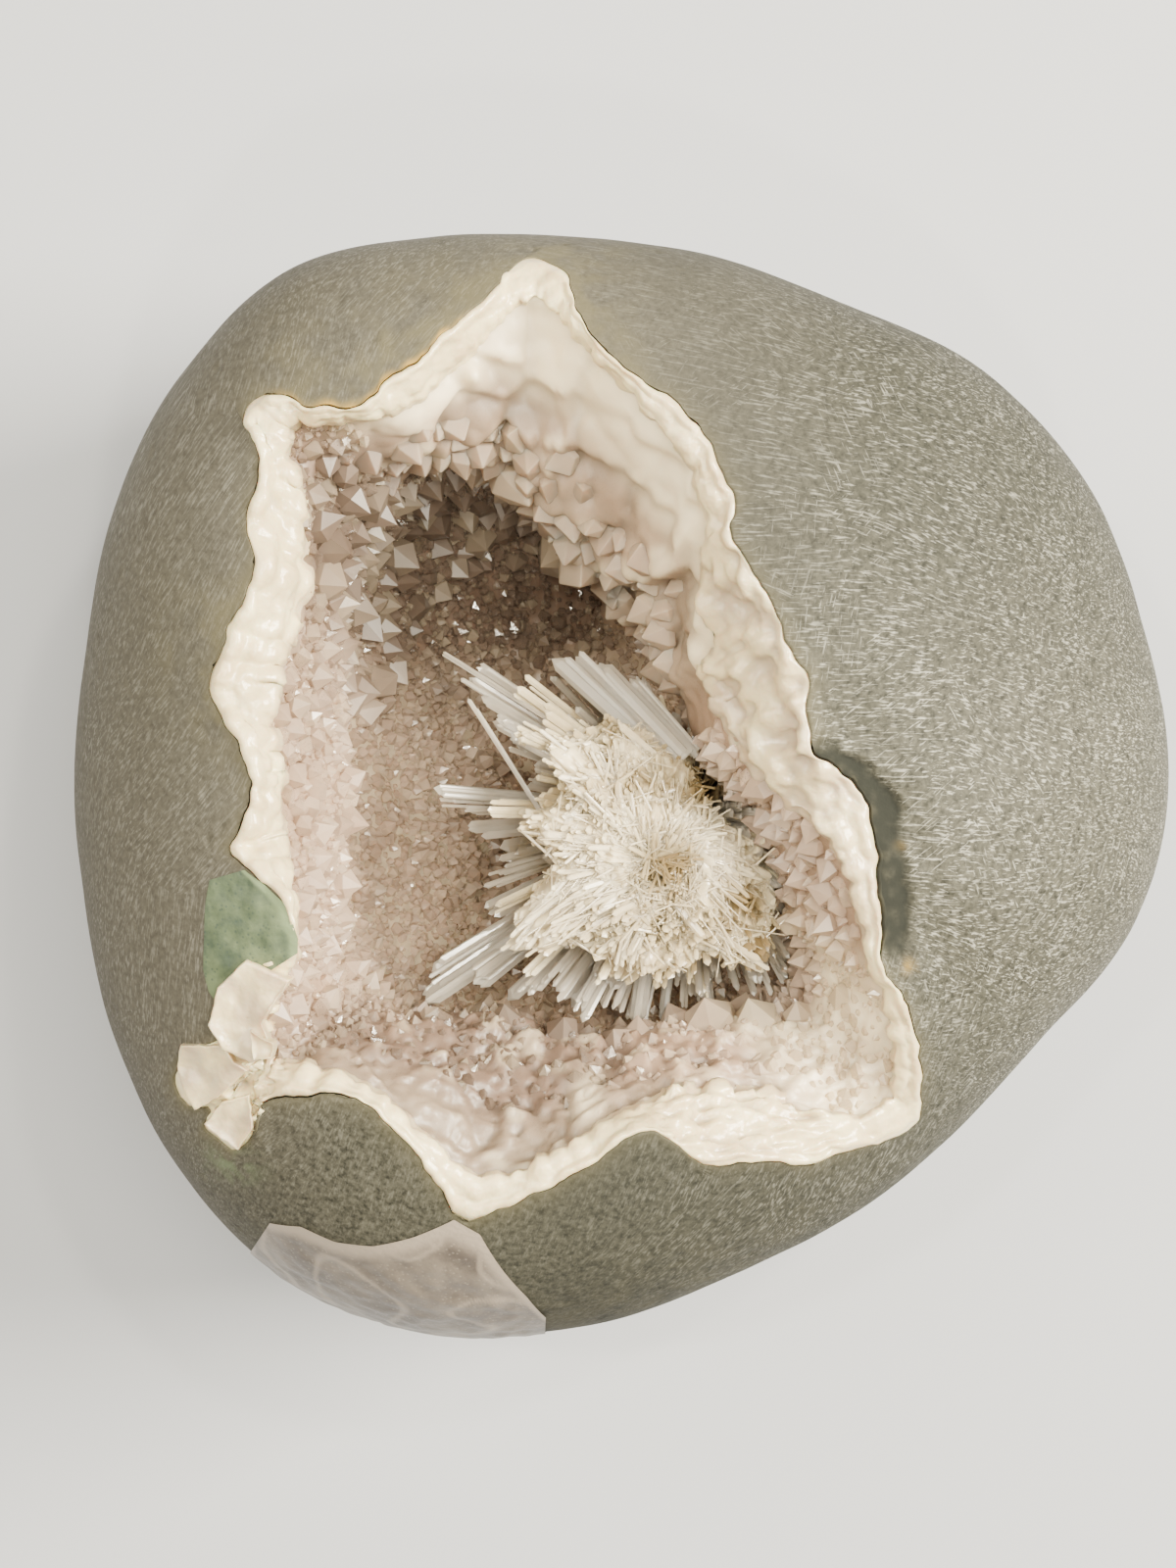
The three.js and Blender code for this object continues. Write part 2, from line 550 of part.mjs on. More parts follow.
// Six-sided crystal with a pointed end, sunk into what it grows from
function makeCrystal(place, direction, radius, length, turn) {
  const sides = 6;
  const up = new THREE.Vector3(0, 0, 1);
  const stand = new THREE.Quaternion().setFromUnitVectors(up, direction);
  const corner = (k, height, size) => {
    const angle = turn + 2 * Math.PI * k / sides;
    return new THREE.Vector3(size * Math.cos(angle), size * Math.sin(angle), height)
      .applyQuaternion(stand).add(place);
  };
  const ring = (height, size) => Array.from({ length: sides }, (unused, k) => corner(k, height, size));
  const triangles = [];
  const sunk = 0.5 * radius;
  const foot = ring(-sunk, radius);
  const tip = direction.clone().multiplyScalar(length).add(place);
  const bottom = direction.clone().multiplyScalar(-sunk).add(place);
  capRing(triangles, [...foot].reverse(), bottom);
  if (radius > PRISM_RADIUS) {
    const shoulder = ring(length - 0.9 * radius, 0.96 * radius);
    joinRings(triangles, foot, shoulder);
    capRing(triangles, shoulder, tip);
  } else {
    capRing(triangles, foot, tip);
  }
  return toSolid(toGeometry(triangles));
}

// Groups of larger quartz crystals: from angle, to angle, count, ring level, radius, length
const CRYSTAL_GROUPS = [
  [44, 100, 7, 1.9, 1.5, 2.4], [50, 96, 5, 1.3, 1.6, 1.9], [102, 128, 4, 1.5, 1.5, 2.2],
  [48, 92, 4, 2.7, 1.2, 1.9], [236, 312, 8, 1.9, 1.2, 1.9], [318, 358, 4, 1.6, 1.3, 1.7],
  [140, 200, 4, 2.4, 1.1, 1.5], [120, 235, 6, 3.9, 1.2, 1.6], [130, 250, 5, 4.7, 1.2, 1.6],
];

function makeCrust() {
  let crust = makeQuartzBed();
  CRYSTAL_GROUPS.forEach(([from, to, count, level, radius, length], group) => {
    for (let k = 0; k < count; k += 1) {
      const angle = mix(from, to, (k + 0.5 + 0.25 * scatter(k, group)) / count);
      const spot = quartzSpot(angle, level + 0.18 * scatter(k, group + 9));
      const upward = scatter(k, group + 3) + CRYSTAL_LEAN.upward;
      const lean = new THREE.Vector3(scatter(k, group + 1), scatter(k, group + 2), upward);
      const direction = spot.outward.addScaledVector(lean, CRYSTAL_LEAN.share).normalize();
      const size = 1 + 0.25 * scatter(k, group + 5);
      crust = crust.add(makeCrystal(spot.place, direction, radius * size, length * size, k));
    }
  });
  return crust;
}

// Four-sided needle that widens a little before its slanting end
function makeNeedle(from, to, radius, grow) {
  const sides = 4;
  const direction = to.clone().sub(from).normalize();
  const length = from.distanceTo(to);
  const stand = new THREE.Quaternion().setFromUnitVectors(new THREE.Vector3(0, 0, 1), direction);
  const ring = (height, size, slant) => Array.from({ length: sides }, (unused, k) => {
    const angle = 2 * Math.PI * k / sides;
    const x = size * Math.cos(angle);
    const y = size * Math.sin(angle) * NEEDLE_FORM.flattening;
    return new THREE.Vector3(x, y, height + slant * x).applyQuaternion(stand).add(from);
  });
  const foot = ring(0, radius * NEEDLE_FORM.footShare + grow, 0);
  const end = ring(length - radius * NEEDLE_FORM.endShare, radius + grow, NEEDLE_FORM.slant);
  const point = to.clone().addScaledVector(direction, grow);
  const triangles = [];
  capRing(triangles, [...foot].reverse(), from);
  joinRings(triangles, foot, end);
  capRing(triangles, end, point);
  return toSolid(toGeometry(triangles));
}

// Rounded heart of the spray where its needles meet
function makeHeart(grow) {
  const heart = new THREE.IcosahedronGeometry(HEART.radius + grow, 1);
  heart.scale(1, 1, HEART.flattening);
  heart.translate(SPRAY_ROOT.x, SPRAY_ROOT.y, SPRAY_ROOT.z + HEART.rise);
  return toSolid(heart);
}

// Needles stand in three tiers: along the reach of the spray, halfway up and towards the opening
const NEEDLE_TIERS = [
  { count: 23, reach: 1.0, rise: 0, radius: 0.62 },
  { count: 13, reach: 0.72, rise: 3.2, radius: 0.75 },
  { count: 7, reach: 0.4, rise: 6.4, radius: 0.85 },
];

// Spray of needles around its heart; `grow` widens it, for cutting its socket into the quartz
function makeSpray(grow) {
  let spray = makeHeart(grow);
  NEEDLE_TIERS.forEach((tier, t) => {
    for (let k = 0; k < tier.count; k += 1) {
      const row = NEEDLE_REACH[k % NEEDLE_REACH.length];
      const placed = tier.reach === 1 && k < NEEDLE_REACH.length;
      const evenAngle = FULL_TURN * (k + 0.5) / tier.count;
      const angle = placed ? row[0] : evenAngle + 5 * scatter(k, t);
      const shortened = placed ? 1 : 0.9 + 0.1 * scatter(k, t + 4);
      const reach = tier.reach * around(NEEDLE_REACH, 1, angle) * shortened;
      const height = Math.min(HIGHEST_TIP, around(NEEDLE_REACH, 2, angle) + tier.rise);
      const turn = radians(angle);
      const tip = new THREE.Vector3(
        SPRAY_ROOT.x + reach * Math.cos(turn),
        SPRAY_ROOT.y + reach * Math.sin(turn),
        height,
      );
      spray = spray.add(makeNeedle(SPRAY_ROOT, tip, tier.radius, grow));
    }
  });
  return spray;
}

// Closed slab that follows the outside of the nodule between two lines, given as rows of
// surface points; it reaches from `above` over the surface to `below` under it
function makeInlay(rows, above, below) {
  const middle = new THREE.Vector3(AXIS.x, AXIS.y, WIDEST_LEVEL);
  const moved = (point, distance) => {
    const outward = point.clone().sub(middle).normalize();
    return point.clone().addScaledVector(outward, distance);
  };
  const top = rows.map((row) => row.map((point) => moved(point, above)));
  const bottom = rows.map((row) => row.map((point) => moved(point, -below)));
  const triangles = [];
  const quad = (a, b, c, d) => triangles.push([a, b, c], [a, c, d]);
  const last = rows.length - 1;
  const end = rows[0].length - 1;
  for (let i = 0; i < last; i += 1) {
    for (let j = 0; j < end; j += 1) {
      quad(top[i][j], top[i + 1][j], top[i + 1][j + 1], top[i][j + 1]);
      quad(bottom[i][j], bottom[i][j + 1], bottom[i + 1][j + 1], bottom[i + 1][j]);
    }
    quad(top[i][0], bottom[i][0], bottom[i + 1][0], top[i + 1][0]);
    quad(top[i][end], top[i + 1][end], bottom[i + 1][end], bottom[i][end]);
  }
  for (let j = 0; j < end; j += 1) {
    quad(top[0][j], top[0][j + 1], bottom[0][j + 1], bottom[0][j]);
    quad(top[last][j], bottom[last][j], bottom[last][j + 1], top[last][j + 1]);
  }
  return toSolid(toGeometry(triangles));
}

// Outside of the nodule at an angle: on the top at that radius, or on the side below the widest
// level where underShare is above 0
function outsidePoint(angle, radius, underShare) {
  if (underShare > 0) {
    return undersidePoint(angle, underShare);
  }
  const point = polar(angle, radius, 0);
  point.z = topHeight(point.x, point.y);
  return point;
}

// Pinkish vein below the front of the rim: angle, radius where it starts on the top,
// share of the side below the widest level that it runs down
const VEIN = [
  [235.5, 35.4, 0.0], [238.5, 34.2, 0.12], [242.5, 33.9, 0.24], [246.5, 32.9, 0.34],
  [250.5, 31.0, 0.42], [254.5, 30.2, 0.46], [258.0, 31.2, 0.44], [261.5, 32.6, 0.38],
  [264.5, 34.2, 0.26], [266.6, 36.0, 0.1],
];

// Rows of surface points across the vein, from its lower end to its start on the top
function veinRows(grow) {
  const across = [0, 0.5, 0.84];
  const turnPerGrow = 1.5;
  const justBelow = 0.0001;
  const lowerMargin = 0.06;
  return VEIN.map(([angle, start, under], k) => {
    const last = VEIN.length - 1;
    const spread = k === 0 ? -grow : (k === last ? grow : 0);
    const turned = angle + spread * turnPerGrow;
    const radius = noduleRadius(turned);
    const points = across.map((share) => outsidePoint(turned, mix(start - grow, radius, share), 0));
    points.push(outsidePoint(turned, radius, justBelow));
    points.push(outsidePoint(turned, radius, under + lowerMargin + grow / WIDEST_LEVEL));
    return points.reverse();
  });
}

// Green patch at the left edge of the hollow: angle, inner radius, outer radius
const PATCH = [
  [196.0, 21.6, 24.0], [199.5, 20.6, 24.8], [203.5, 19.9, 25.6], [207.5, 19.9, 26.6],
  [210.5, 20.1, 27.0], [212.6, 20.6, 26.9],
];

// Rows of surface points across the patch; its inner end runs out over the hollow when it grows
function patchRows(grow) {
  const turnPerGrow = 2.4;
  const innerPerGrow = 4;
  return PATCH.map(([angle, inner, outer], k) => {
    const last = PATCH.length - 1;
    const spread = k === 0 ? -grow : (k === last ? grow : 0);
    const turned = angle + spread * turnPerGrow;
    const middle = mix(inner, outer, 0.5);
    const radii = [outer + grow, middle, inner - grow * innerPerGrow];
    return radii.map((radius) => outsidePoint(turned, radius, 0));
  });
}

function finish(colour, roughness) {
  return new THREE.MeshStandardMaterial({ color: colour, roughness, metalness: 0 });
}

const nodule = makeStone();
const band = makeBand(0);
const crust = largestBody(makeCrust().subtract(makeBand(BAND_ROOM)).subtract(makeSpray(CLEARANCE)));
const vein = largestBody(nodule.intersect(makeInlay(veinRows(0), OVER_SURFACE, VEIN_DEPTH)));
const patch = largestBody(nodule.intersect(makeInlay(patchRows(0), OVER_SURFACE, PATCH_DEPTH)));
const stone = largestBody(nodule
  .subtract(makeInlay(veinRows(CLEARANCE), OVER_SURFACE, VEIN_DEPTH + CLEARANCE))
  .subtract(makeInlay(patchRows(CLEARANCE), OVER_SURFACE, PATCH_DEPTH + CLEARANCE)));
const object = new THREE.Group();
object.name = 'scolecite_geode';
object.add(
  toMesh(stone, 'basalt_stone', finish('#77766a', 0.62)),
  toMesh(band, 'chalcedony_rim', finish('#e3d8c9', 0.3)),
  toMesh(crust, 'quartz_druse', finish('#cfb5a8', 0.25)),
  toMesh(makeSpray(0), 'scolecite_spray', finish('#e9e2d6', 0.3)),
  toMesh(patch, 'celadonite_patch', finish('#7d9080', 0.7)),
  toMesh(vein, 'chalcedony_vein', finish('#cbbab2', 0.45)),
);

export default object;
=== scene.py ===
# %% [markdown]
# # A scolecite geode
#
# The object is a basalt nodule the size of a palm. Its outside was ground on a belt, and its top opens
# into a hollow. White chalcedony lines the edge of the hollow, pale pink quartz covers its inside, and a
# spray of white scolecite needles stands in it. This file dresses the plain solid model of the geode:
# it builds a finer mesh for each piece from the same few measurements and gives each its finish.

# %% Start with the frame
import math
from collections import namedtuple
import bpy
import numpy as np
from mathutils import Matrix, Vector, noise


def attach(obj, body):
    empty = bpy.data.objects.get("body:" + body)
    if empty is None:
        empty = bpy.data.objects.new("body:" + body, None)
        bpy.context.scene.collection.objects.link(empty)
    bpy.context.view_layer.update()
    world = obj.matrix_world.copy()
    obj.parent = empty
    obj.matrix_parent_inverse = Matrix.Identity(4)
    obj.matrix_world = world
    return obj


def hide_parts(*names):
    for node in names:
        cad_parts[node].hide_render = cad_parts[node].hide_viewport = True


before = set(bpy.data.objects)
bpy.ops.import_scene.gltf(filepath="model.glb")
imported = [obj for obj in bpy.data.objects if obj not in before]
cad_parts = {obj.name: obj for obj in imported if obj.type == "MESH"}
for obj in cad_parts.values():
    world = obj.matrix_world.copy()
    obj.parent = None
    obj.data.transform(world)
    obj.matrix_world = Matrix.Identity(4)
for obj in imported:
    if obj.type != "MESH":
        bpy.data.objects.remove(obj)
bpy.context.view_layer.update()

# %% [markdown]
# ## The measurements
#
# All of them are in millimetres. The nodule is given by its radius around an upright axis, the opening by
# points along the ragged edge of the rock, and the hollow by a few rings. A reader can change one number
# and see the stone follow. The points were read off the photograph.

# %% Measurements of the stone
MM = 0.001
# moves the stone to the middle of the shared frame
CENTRING = np.array([-0.27, 0.76, 0.0])
# upright axis that radii and angles are counted from, and the middle of the hollow
AXIS = np.array([-3.2, 0.6])
HOLLOW_MIDDLE = AXIS + np.array([0.0, 4.0])
# height that the dome would reach if it were closed
HEIGHT = 52.0
WIDEST_LEVEL = 22.0
# how far below the widest level the side would come together; the flat base cuts it off before
UNDERSIDE_DEPTH = 24.0
# level where the hollow's wall turns in under the edge, and thickness of the quartz on it
WALL_LEVEL = 36.0
CRUST_THICKNESS = 2.6
# deepest place of the bowl, and the place where all needles start
DEEPEST = np.array([-5.5, 5.9, 16.5])
SPRAY_ROOT = np.array([4.6, -2.0, 31.5])

# radius of the nodule every 15 degrees, from the right towards the far side
NODULE_RADII = [
    42.4, 41.8, 41.6, 39.9, 37.3, 36.5, 36.5, 37.9, 39.7, 38.8, 37.2, 35.6,
    35.4, 36.0, 37.6, 39.5, 40.9, 40.6, 38.9, 37.1, 36.6, 36.8, 38.0, 41.2,
]
NODULE = [(15.0 * k, radius) for k, radius in enumerate(NODULE_RADII)]

# %% Measurements of the opening
# x, y, width of the white band inside this edge, drop of the band's inner side
ROCK_EDGE = [
    [14.1, 0.0, 4.6, 3.2], [12.6, 1.2, 4.8, 4.0], [11.5, 2.1, 4.6, 5.0], [11.1, 4.2, 5.0, 5.6],
    [11.0, 6.6, 5.2, 6.0], [10.0, 8.4, 5.2, 6.0], [9.2, 10.0, 5.0, 6.0], [8.4, 11.8, 4.6, 5.8],
    [7.4, 13.6, 3.8, 5.2], [6.4, 15.2, 2.4, 3.6], [6.6, 16.9, 1.7, 1.8], [6.4, 18.1, 1.5, 1.0],
    [5.3, 20.2, 1.3, 0.9], [4.4, 22.1, 1.3, 0.8], [2.6, 24.0, 1.4, 0.8], [0.5, 25.2, 1.4, 0.8],
    [-1.6, 27.1, 1.3, 0.8], [-3.1, 29.8, 1.3, 0.8], [-4.1, 32.5, 1.6, 0.8], [-6.0, 33.6, 1.7, 0.8],
    [-7.6, 32.7, 1.5, 1.0], [-8.3, 31.2, 1.5, 1.6], [-9.6, 30.1, 1.8, 2.6], [-11.7, 28.1, 1.9, 2.8],
    [-12.8, 26.5, 1.9, 2.4], [-14.4, 25.6, 1.9, 2.0], [-16.2, 23.7, 1.6, 1.5],
    [-17.4, 23.3, 1.2, 1.2], [-19.5, 23.5, 1.1, 1.0], [-21.3, 24.2, 0.9, 1.0],
    [-23.4, 24.3, 1.1, 1.0], [-24.1, 22.9, 1.4, 1.2], [-23.3, 21.2, 2.1, 2.0],
    [-23.2, 19.0, 3.1, 4.0], [-23.9, 16.6, 3.8, 5.0], [-23.6, 13.8, 3.5, 5.0],
    [-24.0, 11.8, 3.2, 4.6], [-25.3, 9.2, 3.2, 3.6], [-26.3, 6.9, 3.6, 2.6], [-25.8, 4.6, 2.9, 2.0],
    [-24.4, 2.4, 1.9, 2.2], [-23.4, 0.2, 1.1, 3.0], [-24.1, -1.9, 1.7, 3.0], [-24.9, -4.2, 2.7, 2.8],
    [-23.6, -5.4, 1.9, 2.0], [-21.6, -7.1, 1.0, 1.2], [-20.9, -9.4, 0.9, 1.0],
    [-21.4, -10.9, 1.0, 1.2], [-23.1, -11.1, 1.9, 1.4], [-24.5, -12.0, 2.4, 1.5],
    [-25.8, -14.0, 3.0, 1.5], [-26.0, -16.2, 3.4, 1.5], [-28.0, -17.0, 5.2, 1.5],
    [-29.5, -18.6, 6.6, 1.5], [-28.9, -20.9, 6.8, 1.5], [-27.2, -21.0, 5.4, 1.5],
    [-27.3, -22.4, 6.4, 1.5], [-25.6, -23.6, 6.2, 1.5], [-23.9, -22.3, 4.8, 1.5],
    [-23.3, -20.1, 2.8, 1.5], [-21.1, -19.8, 2.0, 1.5], [-18.8, -19.4, 1.6, 1.5],
    [-16.6, -20.0, 1.7, 1.4], [-14.8, -21.4, 1.6, 1.2], [-13.3, -23.4, 1.4, 1.0],
    [-12.0, -25.6, 1.1, 1.0], [-10.4, -27.7, 1.1, 1.0], [-7.5, -26.7, 1.4, 1.0],
    [-5.0, -25.3, 1.5, 1.0], [-2.5, -24.1, 1.7, 1.6], [-0.1, -22.4, 2.0, 2.4], [1.6, -21.8, 2.4, 3.2],
    [3.4, -23.1, 3.8, 4.2], [5.4, -24.3, 5.0, 5.0], [8.7, -24.2, 5.2, 5.0], [11.5, -24.6, 4.6, 4.0],
    [14.1, -24.1, 2.4, 2.2], [15.6, -23.7, 1.5, 1.5], [17.1, -23.6, 1.3, 1.2],
    [19.4, -22.2, 1.2, 1.2], [19.2, -19.6, 1.1, 1.2], [18.9, -16.9, 1.2, 1.2],
    [17.4, -13.4, 1.2, 1.1], [16.1, -11.7, 1.1, 1.0], [15.9, -8.8, 1.5, 1.0], [15.5, -6.2, 1.6, 1.1],
    [15.5, -4.0, 1.7, 1.2], [15.2, -1.8, 2.3, 1.8],
]

# %% Measurements of the hollow
# angle, radius and height of the inner lip of the quartz ledge
LIP = [
    [7, 8.6, 38], [42, 8.9, 37], [62, 10.4, 36], [82, 13.2, 36], [91, 15.2, 38], [98, 17.6, 38.5],
    [102, 21.0, 40.5], [112, 23.0, 41], [122, 23.4, 41], [133, 22.0, 41], [143, 19.8, 41],
    [156, 17.4, 40.5], [173, 15.9, 40], [191, 15.8, 40], [208, 18.2, 42], [217, 21.4, 42.5],
    [226, 21.2, 40.5], [238, 18.8, 39], [250, 17.1, 38], [266, 17.2, 38], [281, 17.8, 38],
    [296, 18.2, 38], [306, 20.2, 38], [314, 22.4, 39.5], [321, 20.8, 40], [328, 16.6, 38.5],
    [344, 12.6, 38],
]
# angle, radius and height of the widest part of the bowl, radius and height of its floor
BOWL = [
    [0, 9.2, 32, 6.4, 29.5], [30, 9.2, 30, 6.2, 26], [60, 12.5, 26.5, 8.5, 19.5],
    [90, 17.5, 26, 11.5, 18.5], [120, 20.5, 28, 13, 20], [150, 17.8, 32, 12, 23],
    [180, 16.2, 33.5, 10.5, 26.5], [210, 17.6, 33.5, 11.5, 26.5], [240, 18.6, 31, 12.5, 25.5],
    [270, 18.6, 29.5, 12.5, 23.5], [300, 19, 28.5, 12.5, 23.5], [330, 14.8, 31, 9.6, 28.5],
]

# %% [markdown]
# ## Smooth lines through a few points
#
# A spline passes through all of the points of a closed outline. It needs few points and gives as many
# as the mesh wants. One helper reads a table by its angle, the other runs along an outline.

# %% Splines
def around(rows, column, angle):
    """Smooth closed curve through rows whose first column is an angle in degrees."""
    table = np.array(rows, float)
    count = len(table)
    first = table[0, 0]
    angle = np.mod(np.asarray(angle, float) - first, 360.0) + first
    k = np.searchsorted(table[:, 0], angle, side="right") - 1

    def knot(j):
        return table[j % count, 0] + 360.0 * (j // count)

    def value(j):
        return table[j % count, column]

    def slope(j):
        return (value(j + 1) - value(j - 1)) / (knot(j + 1) - knot(j - 1))

    step = knot(k + 1) - knot(k)
    t = (angle - knot(k)) / step
    rise = 3 * t**2 - 2 * t**3
    bend = (t**3 - 2 * t**2 + t) * slope(k) + (t**3 - t**2) * slope(k + 1)
    return (1 - rise) * value(k) + rise * value(k + 1) + step * bend


def spline(a, b, c, d, f):
    """Curve from b (f = 0) to c (f = 1) that heads the way its neighbours a and d ask for."""
    return 0.5 * (2 * b + (c - a) * f + (2 * a - 5 * b + 4 * c - d) * f**2 + (3 * b - a - 3 * c + d) * f**3)


def along(rows, count):
    """count points along the closed spline through the rows, all of their columns together."""
    knots = np.array(rows, float)
    size = len(knots)
    place = np.arange(count) * size / count
    i = place.astype(int)
    f = (place - i).reshape(-1, *([1] * (knots.ndim - 1)))
    return spline(*(knots[(i + shift) % size] for shift in (-1, 0, 1, 2)), f)


def between(rings, levels):
    """Points on the splines that run across a stack of rings, at levels counted in rings."""
    stack = np.array(rings, float)
    last = len(stack) - 1
    levels = np.asarray(levels, float)
    i = np.clip(levels.astype(int), 0, last - 1)
    f = (levels - i)[:, None, None]
    return spline(*(stack[np.clip(i + shift, 0, last)] for shift in (-1, 0, 1, 2)), f)


print("radius of the nodule at 40 degrees:", round(float(around(NODULE, 1, 40.0)), 2), "mm")

# %% [markdown]
# ## Noise and places
#
# A broken or grown surface is uneven in its own way: slow swells, round lumps, flat faces or plates with a
# step. It could be sculpted by hand, but noise with a size in millimetres is quicker to change and fits
# every piece. The last three helpers say where an effect belongs: from a level on, at a spot, or between
# two angles. Multiplying noise by such a place keeps it there.

# %% Noise
def wavy(points, size, seed):
    """Soft noise between -1 and 1 with waves of about that size, at an array of points."""
    flat = np.asarray(points, float).reshape(-1, 3)
    shift = Vector((seed * 7.3, seed * 3.1, seed * 5.7))
    values = [noise.noise(Vector(point) / size + shift) for point in flat]
    return np.array(values).reshape(np.asarray(points).shape[:-1])


def cells(points, size, seed):
    """For each point, the way to the middle of its cell in cell sizes, and three numbers of the cell."""
    flat = np.asarray(points, float).reshape(-1, 3) / size + seed * np.array([4.9, 8.3, 2.7])
    middle = np.array([noise.voronoi(Vector(point))[1][0] for point in flat])
    # the sine of large numbers gives each cell three numbers that look random
    mixed = np.sin(middle @ np.array([[12.98, 39.34, 73.15], [78.23, 11.13, 52.23], [37.71, 83.15, 9.57]]))
    chance = 2 * np.mod(mixed * 43758.5, 1.0) - 1
    shape = np.asarray(points).shape
    return (flat - middle).reshape(shape), chance.reshape(shape)


def lumpy(points, size, seed):
    """Round lumps between 0 and 1, of about that size, with sharp creases between them."""
    way = cells(points, size, seed)[0]
    return 1 - np.minimum(1, np.sum(way**2, axis=-1))


def faceted(points, size, seed):
    """Tilted flat faces between about -1 and 1, one for each cell of that size."""
    way, chance = cells(points, size, seed)
    return np.sum(way * chance, axis=-1) + 0.5 * chance[..., 0] - 0.6 * np.sum(way**2, axis=-1)


def scallops(points, size, seed):
    """Round plates that rise towards the middle of the hollow and end there in a step."""
    way, chance = cells(points, size, seed)
    inward = np.append(HOLLOW_MIDDLE, 0.0) - points
    inward[..., 2] = 0
    inward = inward / np.linalg.norm(inward, axis=-1, keepdims=True)
    return np.sum(way * inward, axis=-1) - 0.5 * np.sum(way**2, axis=-1) + 0.1 * chance[..., 0]


sample = wavy(np.column_stack([np.arange(200.0), np.zeros(200), np.zeros(200)]), 5.0, 1)
print("noise along a line reaches from", round(float(sample.min()), 2), "to", round(float(sample.max()), 2))

# %% Places
def step_up(values, low, high):
    """0 below low, 1 above high and smooth between them."""
    t = np.clip((np.asarray(values, float) - low) / (high - low), 0, 1)
    return t * t * (3 - 2 * t)


def spot(points, x, y, size_x, size_y):
    """1 at a place in plan and falling off round it."""
    return np.exp(-(((points[..., 0] - x) / size_x) ** 2 + ((points[..., 1] - y) / size_y) ** 2))


def sector(angle, low, high, blur):
    """1 between two angles, in degrees, with soft ends."""
    middle = 0.5 * (low + high)
    away = np.abs(np.mod(angle - middle + 180, 360) - 180)
    return 1 - step_up(away, 0.5 * (high - low) - blur, 0.5 * (high - low) + blur)


print("a sector from 0 to 90 degrees is", round(float(sector(90.0, 0, 90, 5)), 2), "at its end")

# %% [markdown]
# ## The outside of the nodule
#
# Seen from above the nodule is a rounded triangle, and it domes up to the opening. A sphere would be too
# plain and a sculpted mesh could not be measured, so the dome is a formula: the height follows from how far
# out a place is between the axis and the outline. The profile is steep at the far side and slopes gently
# to the right, as the shading of the real stone shows.

# %% Height of the dome
def angle_of(x, y):
    """Direction of a place from the nodule's axis, in degrees."""
    return np.degrees(np.arctan2(y - AXIS[1], x - AXIS[0]))


def fullness(angle):
    """How square-shouldered the dome's profile is on that side; 2 would be an ellipse."""
    far = np.maximum(0, np.cos(np.radians(angle - 95)))
    right = np.maximum(0, np.cos(np.radians(angle)))
    return 2.7 + 1.5 * far**2 - 0.6 * right**2


def missed_hollow(x, y):
    """Shallow place beside the rim that the grinding missed, 1 in its middle."""
    along_rim = y + 3.5
    across = x - 16.4 + 0.38 * along_rim
    distance = (across / 2.8) ** 2 + (along_rim / 8.5) ** 2
    return np.exp(-distance**2)


def top_height(x, y):
    """Height of the dome over a place in plan."""
    angle = angle_of(x, y)
    share = np.minimum(1, np.hypot(x - AXIS[0], y - AXIS[1]) / around(NODULE, 1, angle))
    power = fullness(angle)
    rise = (1 - share**power) ** (1 / power)
    return WIDEST_LEVEL + (HEIGHT - WIDEST_LEVEL) * rise - 0.7 * missed_hollow(x, y)


def polar(angle, radius, height):
    """Points from their angle and radius around the nodule's axis and their height."""
    turn = np.radians(angle)
    x = AXIS[0] + radius * np.cos(turn)
    y = AXIS[1] + radius * np.sin(turn)
    return np.stack([x, y, height + 0 * x], axis=-1)


def underside(angle, share):
    """Side below the widest level; share 0 is the widest level and 1 the flat base."""
    power = 2.4
    height = WIDEST_LEVEL * (1 - share)
    drop = (WIDEST_LEVEL - height) / UNDERSIDE_DEPTH
    return polar(angle, around(NODULE, 1, angle) * (1 - drop**power) ** (1 / power), height)


print("height of the dome at its middle:", round(float(top_height(AXIS[0], AXIS[1])), 2), "mm")

# %% [markdown]
# ## Spokes
#
# Every piece around the opening follows the same ragged edge, so all of them share a set of spokes. A spoke
# knows its place on the rock's edge, which way is into the hollow, and how wide the white band is there.
# Averaging the angles of nearby spokes keeps the lines on the outside of the stone from crossing.

# %% Spokes along the rock's edge
SPOKE_COUNT = 704
EDGE_ROWS = np.array(ROCK_EDGE)


def averaged(values, reach):
    """Each value averaged with its neighbours along a closed line."""
    total = sum(np.roll(values, shift, axis=0) for shift in range(-reach, reach + 1))
    return total / (2 * reach + 1)


def unit(vectors):
    return vectors / np.maximum(1e-9, np.linalg.norm(vectors, axis=-1, keepdims=True))


row_count = len(EDGE_ROWS)
even_turn = np.arange(row_count) * 360.0 / row_count
row_angle = np.unwrap(angle_of(EDGE_ROWS[:, 0], EDGE_ROWS[:, 1]), period=360)
row_lag = averaged(row_angle - even_turn, 4)
row_radius = averaged(np.hypot(EDGE_ROWS[:, 0] - AXIS[0], EDGE_ROWS[:, 1] - AXIS[1]), 4)
row_tangent = np.roll(EDGE_ROWS[:, :2], -1, axis=0) - np.roll(EDGE_ROWS[:, :2], 1, axis=0)
row_normal = unit(np.stack([-row_tangent[:, 1], row_tangent[:, 0]], axis=1))
row_inward = unit(row_normal + 1.2 * unit(AXIS - EDGE_ROWS[:, :2]))
row_inner = EDGE_ROWS[:, :2] + row_inward * EDGE_ROWS[:, 2:3]
for _ in range(4):
    row_inner = 0.5 * row_inner + 0.25 * (np.roll(row_inner, 1, axis=0) + np.roll(row_inner, -1, axis=0))

